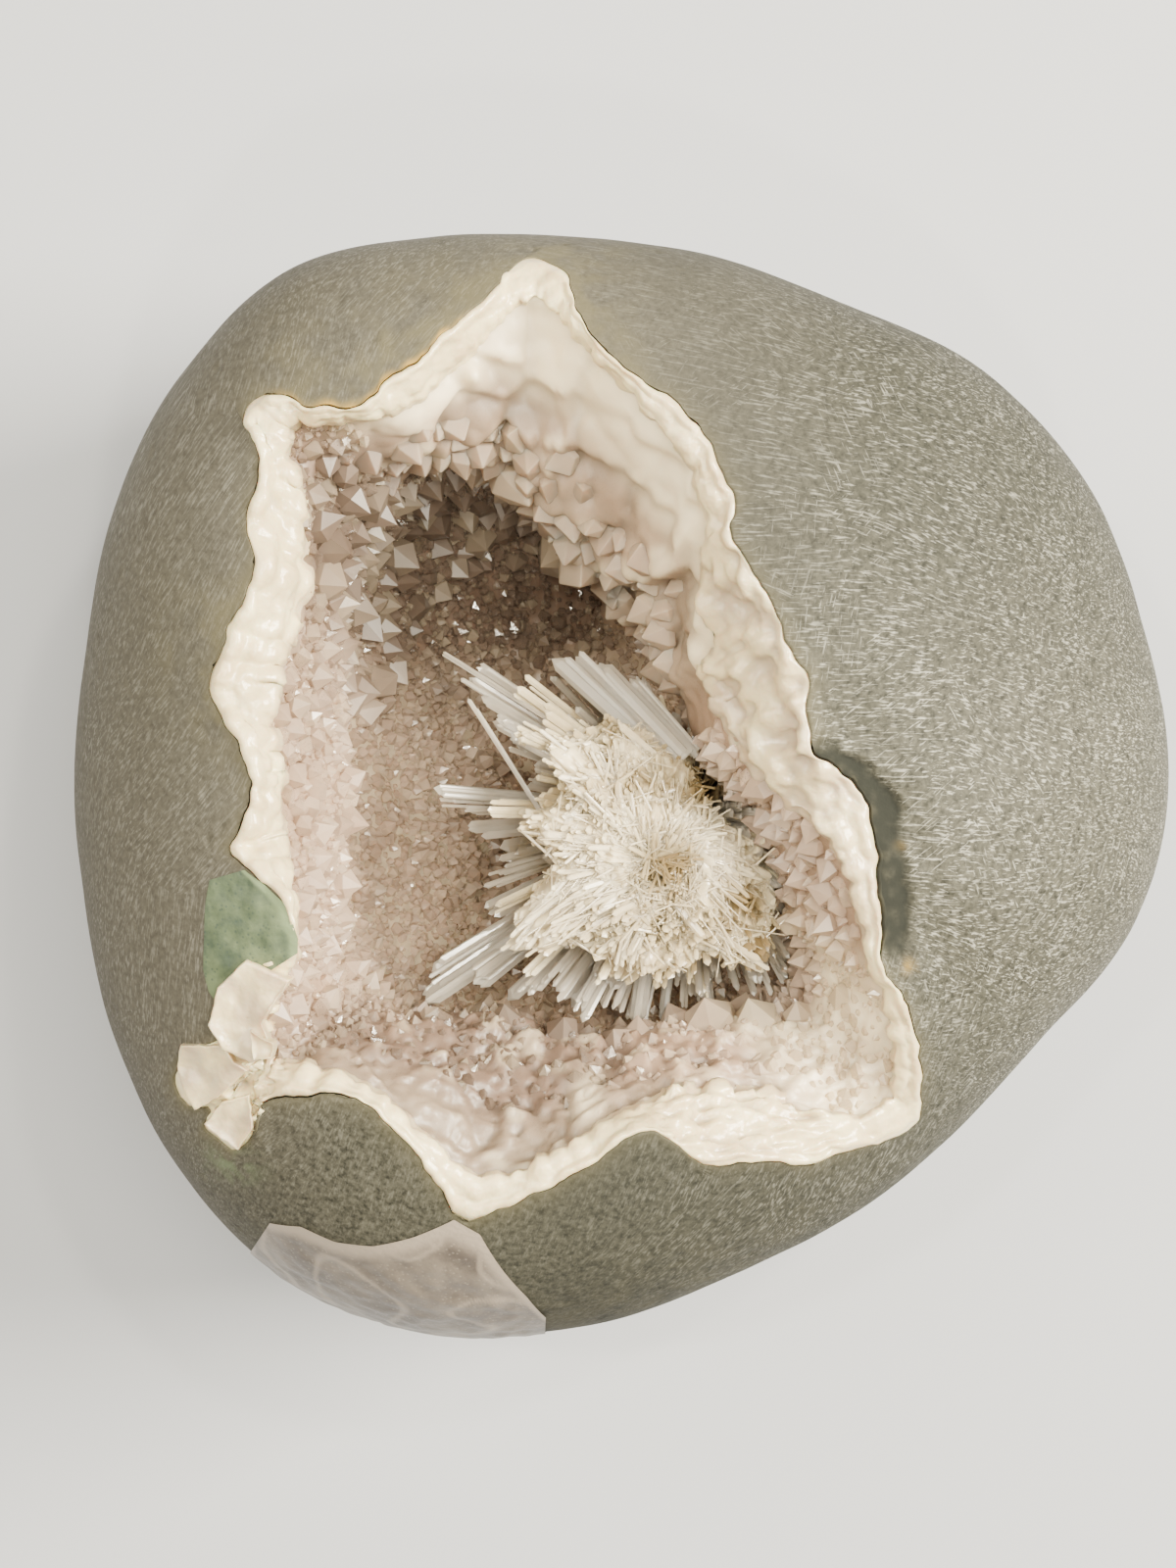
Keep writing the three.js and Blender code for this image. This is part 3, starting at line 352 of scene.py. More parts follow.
first_turn = row_angle[0]
spoke_turn = np.arange(SPOKE_COUNT) * 360.0 / SPOKE_COUNT
spoke_angle = spoke_turn + along(row_lag, SPOKE_COUNT)
spoke_outer = 0.5 * spoke_angle + 0.5 * (spoke_turn + first_turn)
spoke_radius = along(row_radius, SPOKE_COUNT)
spoke_edge = along(EDGE_ROWS[:, :2], SPOKE_COUNT)
spoke_inner = along(row_inner, SPOKE_COUNT)
spoke_width = along(EDGE_ROWS[:, 2], SPOKE_COUNT)
spoke_drop = along(EDGE_ROWS[:, 3], SPOKE_COUNT)


def ring_normal(ring):
    """Direction into the hollow along a closed ring in plan."""
    tangent = np.roll(ring, -2, axis=0) - np.roll(ring, 2, axis=0)
    return unit(np.stack([-tangent[:, 1], tangent[:, 0]], axis=1))


# the break is rough: small jogs along the edge, and smaller ones along the band's inner side
flat_edge = np.column_stack([spoke_edge, np.zeros(SPOKE_COUNT)])
edge_jog = 0.28 * wavy(flat_edge, 1.7, 1) + 0.16 * wavy(flat_edge, 0.7, 2)
spoke_edge = spoke_edge + ring_normal(spoke_edge) * edge_jog[:, None]
inner_jog = 0.35 * wavy(flat_edge, 1.3, 3) + 0.25 * wavy(flat_edge, 0.6, 4)
spoke_inner = spoke_inner + ring_normal(spoke_inner) * inner_jog[:, None]
edge_normal = averaged(ring_normal(spoke_edge), 5)
inner_normal = averaged(ring_normal(spoke_inner), 5)
edge_length = float(np.linalg.norm(np.diff(spoke_edge, axis=0), axis=1).sum())
print("length of the rock's edge:", round(edge_length, 1), "mm")

# %% Rings of the hollow's wall
def on_top(flat):
    """A ring in plan lifted to the dome's surface."""
    return np.column_stack([flat, top_height(flat[:, 0], flat[:, 1])])


bowl_radius = around(BOWL, 1, spoke_angle)
bowl_height = around(BOWL, 2, spoke_angle)
floor_radius = around(BOWL, 3, spoke_angle)
floor_height = around(BOWL, 4, spoke_angle)
edge_ring = on_top(spoke_edge)
belly_radius = 0.75 * spoke_radius + 0.25 * (bowl_radius + CRUST_THICKNESS)
belly_ring = polar(spoke_angle, belly_radius, WALL_LEVEL)
shoulder_ring = edge_ring + 0.45 * (belly_ring - edge_ring)
bowl_wall = polar(spoke_angle, bowl_radius + CRUST_THICKNESS, bowl_height - 1.5)
floor_wall = polar(spoke_angle, floor_radius + 1.6, floor_height - CRUST_THICKNESS)
print("the bowl is up to", round(float(bowl_radius.max()), 1), "mm wide from the axis")

# %% [markdown]
# ## From rings to a mesh
#
# Nearly every piece is a stack of rings. Joining each ring to the next with four-sided faces makes an even
# mesh that takes displacement well. The helpers below make the mesh, move its points along their normals
# and store numbers on the points, which the materials read later.

# %% Mesh helpers
def ring_faces(levels, count, closed):
    """Four-sided faces between the rings of a stack; closed joins the last ring to the first."""
    faces = []
    for k in range(levels if closed else levels - 1):
        a = k * count
        b = ((k + 1) % levels) * count
        for i in range(count):
            j = (i + 1) % count
            faces.append((a + i, a + j, b + j, b + i))
    return faces


def grid_normals(rings, closed=False):
    """Outward direction at each point of a stack of rings."""
    sideways = np.roll(rings, -1, axis=1) - np.roll(rings, 1, axis=1)
    if closed:
        down = np.roll(rings, -1, axis=0) - np.roll(rings, 1, axis=0)
    else:
        down = np.gradient(rings, axis=0)
    return unit(np.cross(sideways, down))


def new_piece(name, points, faces, smooth):
    """Mesh object from points in millimetres, moved to the shared frame."""
    mesh = bpy.data.meshes.new(name)
    mesh.from_pydata(((np.asarray(points).reshape(-1, 3) + CENTRING) * MM).tolist(), [], faces)
    mesh.polygons.foreach_set("use_smooth", [smooth] * len(mesh.polygons))
    mesh.update()
    piece = bpy.data.objects.new(name, mesh)
    bpy.context.scene.collection.objects.link(piece)
    print(name, "has", len(mesh.polygons), "faces")
    return piece


def store(piece, name, values):
    """Keeps one number per point, for the materials."""
    layer = piece.data.attributes.new(name, "FLOAT", "POINT")
    layer.data.foreach_set("value", np.asarray(values, np.float32).ravel())


def belongs(piece, node, material):
    """Gives a piece its material, hangs it under the root body and hides the plain node that it takes the
    place of.
    """
    piece.data.materials.append(material)
    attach(piece, "root")
    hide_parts(node)


# %% [markdown]
# ## Shared surface effects
#
# Minerals are never one flat colour. Two effects come back in several finishes: a cloudy change of colour,
# and a fine grain that breaks up the shine. Each is a node group, built once, with its sizes as inputs.

# %% Node helpers
def add_node(tree, kind, **settings):
    node = tree.nodes.new(kind)
    for key, value in settings.items():
        setattr(node, key, value)
    return node


def wire(tree, *pairs):
    """Joins sockets two by two: each pair is where a value comes from and where it goes."""
    for start, end in pairs:
        tree.links.new(start, end)


def new_group(name, inputs, outputs):
    """Empty node group with its sockets."""
    tree = bpy.data.node_groups.new(name, "ShaderNodeTree")
    for label, value in inputs.items():
        kind = "NodeSocketColor" if isinstance(value, tuple) else "NodeSocketFloat"
        socket = tree.interface.new_socket(label, in_out="INPUT", socket_type=kind)
        socket.default_value = value
    for label in outputs:
        kind = "NodeSocketColor" if label == "Color" else "NodeSocketFloat"
        tree.interface.new_socket(label, in_out="OUTPUT", socket_type=kind)
    return tree, tree.nodes.new("NodeGroupInput").outputs, tree.nodes.new("NodeGroupOutput").inputs


def use_group(tree, group, **values):
    node = tree.nodes.new("ShaderNodeGroup")
    node.node_tree = group
    for label, value in values.items():
        node.inputs[label.replace("_", " ")].default_value = value
    return node


def math_node(tree, operation, *values):
    """Math node; None leaves a socket free for a wire."""
    node = add_node(tree, "ShaderNodeMath", operation=operation)
    for k, value in enumerate(values):
        if value is not None:
            node.inputs[k].default_value = value
    return node


def map_range(tree, start, end, low, high):
    node = add_node(tree, "ShaderNodeMapRange")
    for label, value in (("From Min", start), ("From Max", end), ("To Min", low), ("To Max", high)):
        node.inputs[label].default_value = value
    return node


def rgba(red, green, blue):
    return (red, green, blue, 1.0)


# %% Cloudy colour group
def make_cloudy():
    """Noise that blends from a dark to a light colour."""
    inputs = {"Size": 100.0, "Contrast": 1.0, "Dark": rgba(0.3, 0.3, 0.3), "Light": rgba(0.6, 0.6, 0.6)}
    tree, given, out = new_group("cloudy colour", inputs, ["Color", "Cloud"])
    place = add_node(tree, "ShaderNodeTexCoord")
    cloud = add_node(tree, "ShaderNodeTexNoise")
    cloud.inputs["Detail"].default_value = 6
    cloud.inputs["Roughness"].default_value = 0.62
    centre = math_node(tree, "SUBTRACT", None, 0.5)
    stretch = math_node(tree, "MULTIPLY_ADD", None, None, 0.5)
    stretch.use_clamp = True
    blend = add_node(tree, "ShaderNodeMix", data_type="RGBA")
    wire(
        tree,
        (place.outputs["Object"], cloud.inputs["Vector"]),
        (given["Size"], cloud.inputs["Scale"]),
        (cloud.outputs["Fac"], centre.inputs[0]),
        (centre.outputs[0], stretch.inputs[0]),
        (given["Contrast"], stretch.inputs[1]),
        (stretch.outputs[0], blend.inputs["Factor"]),
        (given["Dark"], blend.inputs["A"]),
        (given["Light"], blend.inputs["B"]),
        (blend.outputs["Result"], out["Color"]),
        (stretch.outputs[0], out["Cloud"]),
    )
    return tree


CLOUDY = make_cloudy()

# %% Fine grain group
def make_grain():
    """Fine bumps, and specks for the shine."""
    tree, given, out = new_group("fine grain", {"Size": 1500.0, "Fine Size": 6000.0}, ["Height", "Specks"])
    place = add_node(tree, "ShaderNodeTexCoord")
    coarse = add_node(tree, "ShaderNodeTexNoise")
    coarse.inputs["Detail"].default_value = 4
    fine = add_node(tree, "ShaderNodeTexVoronoi")
    height = math_node(tree, "MULTIPLY_ADD", None, 0.35, None)
    wire(
        tree,
        (place.outputs["Object"], coarse.inputs["Vector"]),
        (place.outputs["Object"], fine.inputs["Vector"]),
        (given["Size"], coarse.inputs["Scale"]),
        (given["Fine Size"], fine.inputs["Scale"]),
        (fine.outputs["Distance"], height.inputs[0]),
        (coarse.outputs["Fac"], height.inputs[2]),
        (height.outputs[0], out["Height"]),
        (fine.outputs["Distance"], out["Specks"]),
    )
    return tree


GRAIN = make_grain()

# %% Material helpers
def new_material(name, **values):
    """Material with a Principled shader whose plain sockets are set."""
    material = bpy.data.materials.new(name)
    material.use_nodes = True
    shader = material.node_tree.nodes["Principled BSDF"]
    for label, value in values.items():
        shader.inputs[label.replace("_", " ")].default_value = value
    return material, material.node_tree, shader


def cloudy(tree, size, contrast, dark, light):
    node = use_group(tree, CLOUDY, Size=size, Contrast=contrast, Dark=rgba(*dark), Light=rgba(*light))
    return node.outputs["Color"]


def cloud_of(colour):
    """The plain cloud behind a cloudy colour, between 0 and 1."""
    return colour.node.outputs["Cloud"]


def roughen(tree, shader, height, strength, distance):
    """Bump with its distance in millimetres."""
    bump = add_node(tree, "ShaderNodeBump")
    bump.inputs["Strength"].default_value = strength
    bump.inputs["Distance"].default_value = distance * MM
    wire(tree, (height, bump.inputs["Height"]), (bump.outputs["Normal"], shader.inputs["Normal"]))


def mask(tree, name):
    """Number that a piece keeps on its points."""
    return add_node(tree, "ShaderNodeAttribute", attribute_name=name).outputs["Fac"]


def tint(tree, factor, under, colour):
    """Lays a colour over another where the factor is high."""
    blend = add_node(tree, "ShaderNodeMix", data_type="RGBA")
    blend.inputs["B"].default_value = rgba(*colour)
    wire(tree, (factor, blend.inputs["Factor"]), (under, blend.inputs["A"]))
    return blend.outputs["Result"]


# %% [markdown]
# ## Ground basalt
#
# The belt left short scratches, and it was held a different way from patch to patch. A cell pattern gives
# each patch a random turn. A noise that is stretched along the turned direction then draws the scratches.
# They are a little lighter than the stone and catch the light, so they feed both colour and bump.

# %% Belt scratches group
def make_scratches():
    """Short lines whose direction changes from patch to patch."""
    inputs = {"Patch Size": 110.0, "Turn": 0.0, "Swing": 6.3, "Threshold": 0.56}
    tree, given, out = new_group("belt scratches", inputs, ["Scratch"])
    place = add_node(tree, "ShaderNodeTexCoord")
    warp = add_node(tree, "ShaderNodeTexNoise")
    warp.inputs["Scale"].default_value = 300
    warp.inputs["Detail"].default_value = 3
    bend = add_node(tree, "ShaderNodeVectorMath", operation="MULTIPLY_ADD")
    bend.inputs[1].default_value = (0.005, 0.005, 0.005)
    patches = add_node(tree, "ShaderNodeTexVoronoi")
    split = add_node(tree, "ShaderNodeSeparateColor")
    turn = math_node(tree, "MULTIPLY_ADD")
    rotate = add_node(tree, "ShaderNodeVectorRotate", rotation_type="Z_AXIS")
    stretch = add_node(tree, "ShaderNodeVectorMath", operation="MULTIPLY")
    stretch.inputs[1].default_value = (480.0, 7600.0, 3000.0)
    lines = add_node(tree, "ShaderNodeTexNoise")
    lines.inputs["Scale"].default_value = 1.0
    lines.inputs["Detail"].default_value = 2
    excess = math_node(tree, "SUBTRACT")
    sharpen = math_node(tree, "MULTIPLY", None, 11.0)
    sharpen.use_clamp = True
    wire(
        tree,
        (place.outputs["Object"], warp.inputs["Vector"]),
        (warp.outputs["Color"], bend.inputs[0]),
        (place.outputs["Object"], bend.inputs[2]),
        (bend.outputs[0], patches.inputs["Vector"]),
        (given["Patch Size"], patches.inputs["Scale"]),
        (patches.outputs["Color"], split.inputs[0]),
        (split.outputs[0], turn.inputs[0]),
        (given["Swing"], turn.inputs[1]),
        (given["Turn"], turn.inputs[2]),
        (place.outputs["Object"], rotate.inputs["Vector"]),
        (turn.outputs[0], rotate.inputs["Angle"]),
        (rotate.outputs[0], stretch.inputs[0]),
        (stretch.outputs[0], lines.inputs["Vector"]),
        (lines.outputs["Fac"], excess.inputs[0]),
        (given["Threshold"], excess.inputs[1]),
        (excess.outputs[0], sharpen.inputs[0]),
        (sharpen.outputs[0], out["Scratch"]),
    )
    return tree


SCRATCHES = make_scratches()

# %% [markdown]
# Three sets of scratches lie over each other: two cross at the right and one leans at the left. The stone
# under them is a fine grit of dark and light grains. Stains, haze, the green beside the patch and a dark tint
# are laid over it as thin tints where the mesh says so. The dark tint is unground rock beside the right edge
# and painted shade at the front and the top right.

# %% Basalt finish
def make_basalt():
    """Ground basalt with its scratches and stains."""
    material, tree, shader = new_material("ground_basalt", Specular_IOR_Level=0.22)
    grit = cloudy(tree, 2500.0, 2.6, (0.015, 0.015, 0.011), (0.088, 0.084, 0.066))
    broad = cloudy(tree, 60.0, 2.2, (0.82, 0.82, 0.76), (1.18, 1.16, 1.12))
    spread = add_node(tree, "ShaderNodeMix", data_type="RGBA", blend_type="MULTIPLY")
    spread.inputs["Factor"].default_value = 1.0
    level = use_group(tree, SCRATCHES, Patch_Size=125.0, Turn=-0.1, Swing=0.5, Threshold=0.55)
    crossing = use_group(tree, SCRATCHES, Patch_Size=170.0, Turn=-1.6, Swing=3.0, Threshold=0.61)
    leaning = use_group(tree, SCRATCHES, Patch_Size=80.0, Turn=-1.4, Swing=0.7, Threshold=0.52)
    either = math_node(tree, "MAXIMUM")
    side = add_node(tree, "ShaderNodeMix", data_type="FLOAT")
    shown = math_node(tree, "MULTIPLY")
    speckled = math_node(tree, "MULTIPLY_ADD", None, 1.1, 0.3)
    lighter = math_node(tree, "MULTIPLY")
    lighter.use_clamp = True
    wire(
        tree,
        (grit, spread.inputs["A"]),
        (broad, spread.inputs["B"]),
        (level.outputs["Scratch"], either.inputs[0]),
        (crossing.outputs["Scratch"], either.inputs[1]),
        (mask(tree, "right_side"), side.inputs["Factor"]),
        (leaning.outputs["Scratch"], side.inputs["A"]),
        (either.outputs[0], side.inputs["B"]),
        (side.outputs[0], shown.inputs[0]),
        (mask(tree, "ground"), shown.inputs[1]),
        (cloud_of(grit), speckled.inputs[0]),
        (shown.outputs[0], lighter.inputs[0]),
        (speckled.outputs[0], lighter.inputs[1]),
    )
    colour = tint(tree, lighter.outputs[0], spread.outputs["Result"], (0.28, 0.27, 0.225))
    colour = tint(tree, mask(tree, "haze"), colour, (0.104, 0.092, 0.073))
    colour = tint(tree, mask(tree, "olive"), colour, (0.112, 0.098, 0.054))
    colour = tint(tree, mask(tree, "green"), colour, (0.12, 0.15, 0.085))
    colour = tint(tree, mask(tree, "rust"), colour, (0.36, 0.23, 0.055))
    # dark tint: unground rock on the strip beside the right edge, and painted shade at the front and the top
    # right
    unground_and_shade = mask(tree, "unground_and_shade")
    colour = tint(tree, unground_and_shade, colour, (0.015, 0.016, 0.013))
    grain = use_group(tree, GRAIN, Size=1900.0, Fine_Size=5200.0)
    height = math_node(tree, "MULTIPLY_ADD", None, -0.8, None)
    shine = map_range(tree, 0.0, 1.0, 0.7, 0.45)
    duller = math_node(tree, "MULTIPLY_ADD", None, 0.3, None)
    wire(
        tree,
        (colour, shader.inputs["Base Color"]),
        (shown.outputs[0], height.inputs[0]),
        (grain.outputs["Height"], height.inputs[2]),
        (shown.outputs[0], shine.inputs["Value"]),
        (unground_and_shade, duller.inputs[0]),
        (shine.outputs["Result"], duller.inputs[2]),
        (duller.outputs[0], shader.inputs["Roughness"]),
    )
    roughen(tree, shader, height.outputs[0], 0.6, 0.05)
    return material


BASALT = make_basalt()

# %% [markdown]
# ## The stone
#
# The stone is one stack of rings: from the flat base up the side, over the dome to the edge of the opening
# and down its wall. A real ground surface isn't perfectly even, so slow waves of a tenth of a millimetre
# move it in and out. Numbers on the points tell the material where the grinding missed a place, where
# painted shade darkens the front and the top right, and where iron has stained the stone beside the white
# band.

# %% Rings of the stone
SIDE_RINGS = 26
DOME_RINGS = 58
NEAR_EDGE_RINGS = 26
# share of the way over the dome where the rings become close, for the relief beside the edge
NEAR_EDGE = 0.86


def stone_rings():
    """Rings from the base up the side and over the dome to the opening, then down its wall."""
    base_middle = np.tile([AXIS[0], AXIS[1], 0.0], (SPOKE_COUNT, 1))
    foot = underside(spoke_outer, 1.0)
    rings = [base_middle + share * (foot - base_middle) for share in (0.02, 0.35, 0.7, 0.97)]
    rings += [underside(spoke_outer, share) for share in np.linspace(1.0, 0.0, SIDE_RINGS)]
    widest = rings[-1]
    over_dome = np.linspace(0, 1, DOME_RINGS)[1:] ** 2 * NEAR_EDGE
    climb = np.concatenate([over_dome, np.linspace(NEAR_EDGE, 1, NEAR_EDGE_RINGS)[1:]])
    rings += [on_top(widest[:, :2] + share * (spoke_edge - widest[:, :2])) for share in climb]
    rings += [edge_ring + share * (shoulder_ring - edge_ring) for share in (0.04, 0.12, 0.3, 0.6, 1.0)]
    rings += [belly_ring, bowl_wall, floor_wall]
    return np.array(rings)


def stone_waves(points):
    """Slow unevenness of the ground surface."""
    return 0.16 * wavy(points, 11.0, 11) + 0.04 * wavy(points, 3.5, 12)


# rings before the surface is made uneven, and what the relief and the stains ask of each point
smooth_stone = stone_rings()
stone_height = smooth_stone[..., 2]
stone_angle = angle_of(smooth_stone[..., 0], smooth_stone[..., 1])
stone_beside = np.linalg.norm(smooth_stone[..., :2] - spoke_edge[None], axis=-1)
stone_top = step_up(stone_height, 38, 42)
print("the stone is a stack of", len(smooth_stone), "rings")

# %% Relief of the stone
def unground_strip():
    """1 on the strip beside the right edge that the belt didn't reach."""
    reach = 2.1 + 0.7 * wavy(smooth_stone, 1.8, 17)
    close = 1 - step_up(stone_beside, reach - 0.5, reach + 0.5)
    return close * sector(stone_angle, -30, 7, 3) * stone_top


def stone_relief(strip):
    """How far each point of the stone moves out: slow waves, small pits and the rough places."""
    free = step_up(stone_height, 0.4, 4.0)
    waves = stone_waves(smooth_stone)
    pits = -0.12 * step_up(wavy(smooth_stone, 0.9, 13), 0.45, 0.7)
    rough = missed_hollow(smooth_stone[..., 0], smooth_stone[..., 1]) * step_up(stone_height, 40, 44)
    coarse = rough * 0.2 * wavy(smooth_stone, 1.4, 14)
    coarse = coarse - 0.35 * strip
    return (waves + pits) * free + coarse


strip = unground_strip()
stone_points = smooth_stone + grid_normals(smooth_stone) * stone_relief(strip)[..., None]
stone = new_piece("ground_stone", stone_points, ring_faces(len(stone_points), SPOKE_COUNT, False), True)
belongs(stone, "basalt_stone", BASALT)

# %% Scratches and shades of the stone
patchy = np.clip(0.45 + 1.0 * wavy(stone_points, 3.0, 15) + 0.7 * wavy(stone_points, 1.0, 16), 0, 1)


def store_grinding(piece, rings):
    """Where the scratches show, where the stone is hazy, and where it is dark: unground rock beside the edge,
    and painted shade at the front and the top right.
    """
    low_side = sector(stone_angle, 228, 318, 14)
    right_part = step_up(rings[..., 0] - 0.2 * np.maximum(0, rings[..., 1]), -5, 15)
    held = 0.42 + 0.58 * right_part - 0.3 * low_side
    # painted shade: the front side and the top right of the stone are darkened as if less light fell there
    painted_side_shade = 0.4 * sector(stone_angle, 262, 322, 14) * step_up(stone_height, 10, 24)
    painted_side_shade = painted_side_shade + 0.33 * step_up(rings[..., 1], 0, 18) * step_up(rings[..., 0], -6, 6)
    dark = np.maximum(painted_side_shade, strip * (0.97 + 0.4 * wavy(rings, 0.7, 19)))
    store(piece, "right_side", step_up(rings[..., 0] + 0.5 * rings[..., 1], 4, 16))
    store(piece, "haze", 0.42 * (1 - right_part) * (1 - low_side) * (1 - strip))
    store(piece, "ground", np.clip((1 - strip) * held * (0.6 + 0.6 * patchy), 0, 1))
    store(piece, "unground_and_shade", np.clip(dark, 0, 0.97))


store_grinding(stone, stone_points)
print("share of the stone's points on the unground strip:", round(float(strip.mean()), 3))

# %% Stains of the stone
def store_stains(piece, rings):
    """Olive and rusty stains beside the band, and the green beside the patch."""
    contact = 0.6 * np.exp(-stone_beside / 0.6) * stone_top
    far = sector(stone_angle, 84, 126, 10) * np.exp(-stone_beside / 3.5) * stone_top
    left = sector(stone_angle, 152, 178, 8) * np.exp(-stone_beside / 2.5) * stone_top
    low = 0.5 * sector(stone_angle, 240, 300, 25) * np.exp(-(((stone_height - 34) / 7) ** 2))
    rust = 1.3 * sector(stone_angle, 106, 126, 4) * np.exp(-(stone_beside / 0.35) ** 2)
    rust += spot(rings, 17.1, -3.9, 0.3, 0.25)
    rust += 0.8 * spot(rings, 17.7, -11.5, 0.4, 0.5)
    green = spot(rings, -25.8, -24.8, 1.7, 1.2) * step_up(wavy(rings, 0.8, 18), -0.25, 0.25)
    store(piece, "olive", np.clip(contact + (1.4 * far + 1.0 * left + low) * patchy, 0, 0.65))
    store(piece, "green", 0.8 * green)
    store(piece, "rust", np.clip(rust * (0.6 + wavy(rings, 1.0, 20)), 0, 0.9) * stone_top)
    print("highest number of the rusty stain:", round(float(rust.max()), 2))


store_stains(stone, stone_points)

# %% [markdown]
# ## The white band
#
# Chalcedony grew as a skin between rock and quartz. It is smooth and waxy, swells into round lumps and shows
# its layers as ripples where the break cut across it. The band is a closed tube of rings with a round top.
# Round noise raises the lumps at the left, and waves that run along the band make the ripples at the right.

# %% Chalcedony finish
def make_chalcedony():
    """Waxy white chalcedony with pink places, painted shade in its hollows and stained places."""
    material, tree, shader = new_material(
        "white_chalcedony", Roughness=0.28, Subsurface_Weight=0.2, Subsurface_Scale=0.001,
        Coat_Weight=0.3, Coat_Roughness=0.12,
    )
    colour = cloudy(tree, 330.0, 2.2, (0.56, 0.43, 0.25), (0.86, 0.74, 0.44))
    # pink tint of the chalcedony, which also paints shade into the hollows of the band's relief
    colour = tint(tree, mask(tree, "pinkish_and_crease_shade"), colour, (0.40, 0.31, 0.235))
    colour = tint(tree, mask(tree, "stain"), colour, (0.36, 0.20, 0.06))
    grain = use_group(tree, GRAIN, Size=900.0, Fine_Size=2400.0)
    wire(tree, (colour, shader.inputs["Base Color"]))
    roughen(tree, shader, grain.outputs["Height"], 0.5, 0.16)
    return material


CHALCEDONY = make_chalcedony()

# %% Rings of the band
BAND_LEVELS = 52
BAND_GAP = 0.03


def band_rings():
    """Rings round the band's section: up its outer wall, over its top and down its inner side."""
    up = np.array([0.0, 0.0, 1.0])
    drop = spoke_drop[:, None]
    outer_flat = spoke_edge + edge_normal * BAND_GAP

    def across(share, sink):
        return on_top(outer_flat + share * (spoke_inner - outer_flat)) - up * sink

    wall = edge_ring + 0.25 * (shoulder_ring - edge_ring)
    seam = shoulder_ring.copy()
    for ring in (wall, seam):
        ring[:, :2] += edge_normal * BAND_GAP
    rings = [
        seam,
        wall,
        across(0.0, 0.5),
        across(0.02, 0.06),
        across(0.2, 0.10 * drop - 0.10),
        across(0.42, 0.36 * drop - 0.05),
        across(0.7, 0.66 * drop - 0.15),
        across(0.93, 0.9 * drop),
        across(1.0, drop + 0.3),
        across(1.0, drop + 1.6),
    ]
    return between(rings, np.linspace(0, len(rings) - 1, BAND_LEVELS))


smooth_band = band_rings()
print("the band is a closed stack of", len(smooth_band), "rings")

# %% Band mesh
def band_relief(rings, angle):
    """Lumps at the left, hammered face at the right, ridges along the front, beads elsewhere."""
    left = sector(angle, 128, 205, 6)
    broad = step_up(spoke_width, 2.0, 3.2)[None, :] * (1 - left)
    right_face = broad * sector(angle, -12, 80, 6)
    front_face = broad - right_face
    narrow = (1 - broad) * (1 - left)
    lumps = 0.95 * lumpy(rings, 1.9, 21) - 0.5 + 0.4 * lumpy(rings, 0.9, 28)
    hammered = 0.8 * wavy(rings, 1.7, 29) + 0.4 * wavy(rings, 0.8, 30) + 0.7 * lumpy(rings, 2.2, 31) - 0.6
    streaks = rings * np.array([0.36, 1.9, 1.0])
    ridges = 0.9 * wavy(streaks, 1.05, 23) + 0.6 * wavy(streaks, 0.5, 24)
    beads = 0.42 * lumpy(rings, 1.25, 22) - 0.2
    fine = 0.07 * wavy(rings, 0.5, 25)
    return left * lumps + right_face * hammered + front_face * ridges + narrow * beads + fine


def build_band():
    """The band with its relief, the places where it is pink or stained, and painted shade in its hollows."""
    share = np.linspace(0, 1, BAND_LEVELS)[:, None]
    open_part = step_up(share, 0.31, 0.46) * (1 - step_up(share, 0.94, 1.0))
    angle = angle_of(smooth_band[..., 0], smooth_band[..., 1])
    relief = band_relief(smooth_band, angle) * open_part
    rings = smooth_band + grid_normals(smooth_band, True) * relief[..., None]
    piece = new_piece("white_band", rings, ring_faces(BAND_LEVELS, SPOKE_COUNT, True), True)
    right = sector(angle, -30, 80, 6)
    pinkish_and_crease_shade = 0.5 * step_up(share, 0.76, 0.9) * (1 - sector(angle, 35, 128, 8)) + 0.25 * right
    stain = (1 - step_up(share, 0.26, 0.36)) * np.clip(0.4 + 0.9 * wavy(rings, 3.0, 27), 0, 0.8)
    seam_line = np.exp(-(((share - 0.88) / 0.025) ** 2)) * sector(angle, 200, 400, 8)
    # painted shade: the sunken parts of the relief are tinted a darker pink
    painted_crease_shade = np.clip(-1.1 * relief, 0, 0.6)
    store(piece, "pinkish_and_crease_shade", np.clip(pinkish_and_crease_shade + painted_crease_shade + 0.15 * wavy(rings, 2.0, 26), 0, 0.8))
    store(piece, "stain", np.clip(stain + 0.4 * seam_line * (0.7 + wavy(rings, 1.5, 19)), 0, 0.8))
    return piece


band = build_band()
belongs(band, "chalcedony_rim", CHALCEDONY)

# %% [markdown]
# ## Broken plates of the band
#
# Near the left front a piece of the band broke off and left a few thin plates with sharp edges. Noise can't
# make such edges, so each plate has its own outline, drawn by a few corners. It is tilted a little and
# follows the dome half way, as a loose flake lies on a curved surface.

# %% Flakes of the band
# outline of each plate in plan, lift over the stone, tilt along x and y
FLAKES = [
    [[(-23.9, -11.0), (-21.1, -12.2), (-23.0, -15.0), (-22.3, -16.8), (-23.6, -17.6), (-25.4, -16.8),
      (-26.4, -15.2), (-25.8, -12.8)], 0.9, (-0.10, 0.05)],
    [[(-28.6, -16.7), (-25.8, -16.6), (-24.9, -17.6), (-24.0, -18.1), (-26.2, -20.1), (-27.8, -21.0),
      (-28.6, -19.7), (-29.0, -18.1)], 0.7, (0.16, 0.04)],
    [[(-26.0, -20.3), (-24.1, -19.8), (-23.9, -21.9), (-25.0, -23.5), (-27.2, -21.9)], 0.5, (0.05, -0.08)],
    [[(-23.6, -15.4), (-22.2, -16.2), (-22.2, -17.1), (-23.5, -17.3)], 1.5, (0.05, 0.12)],
]
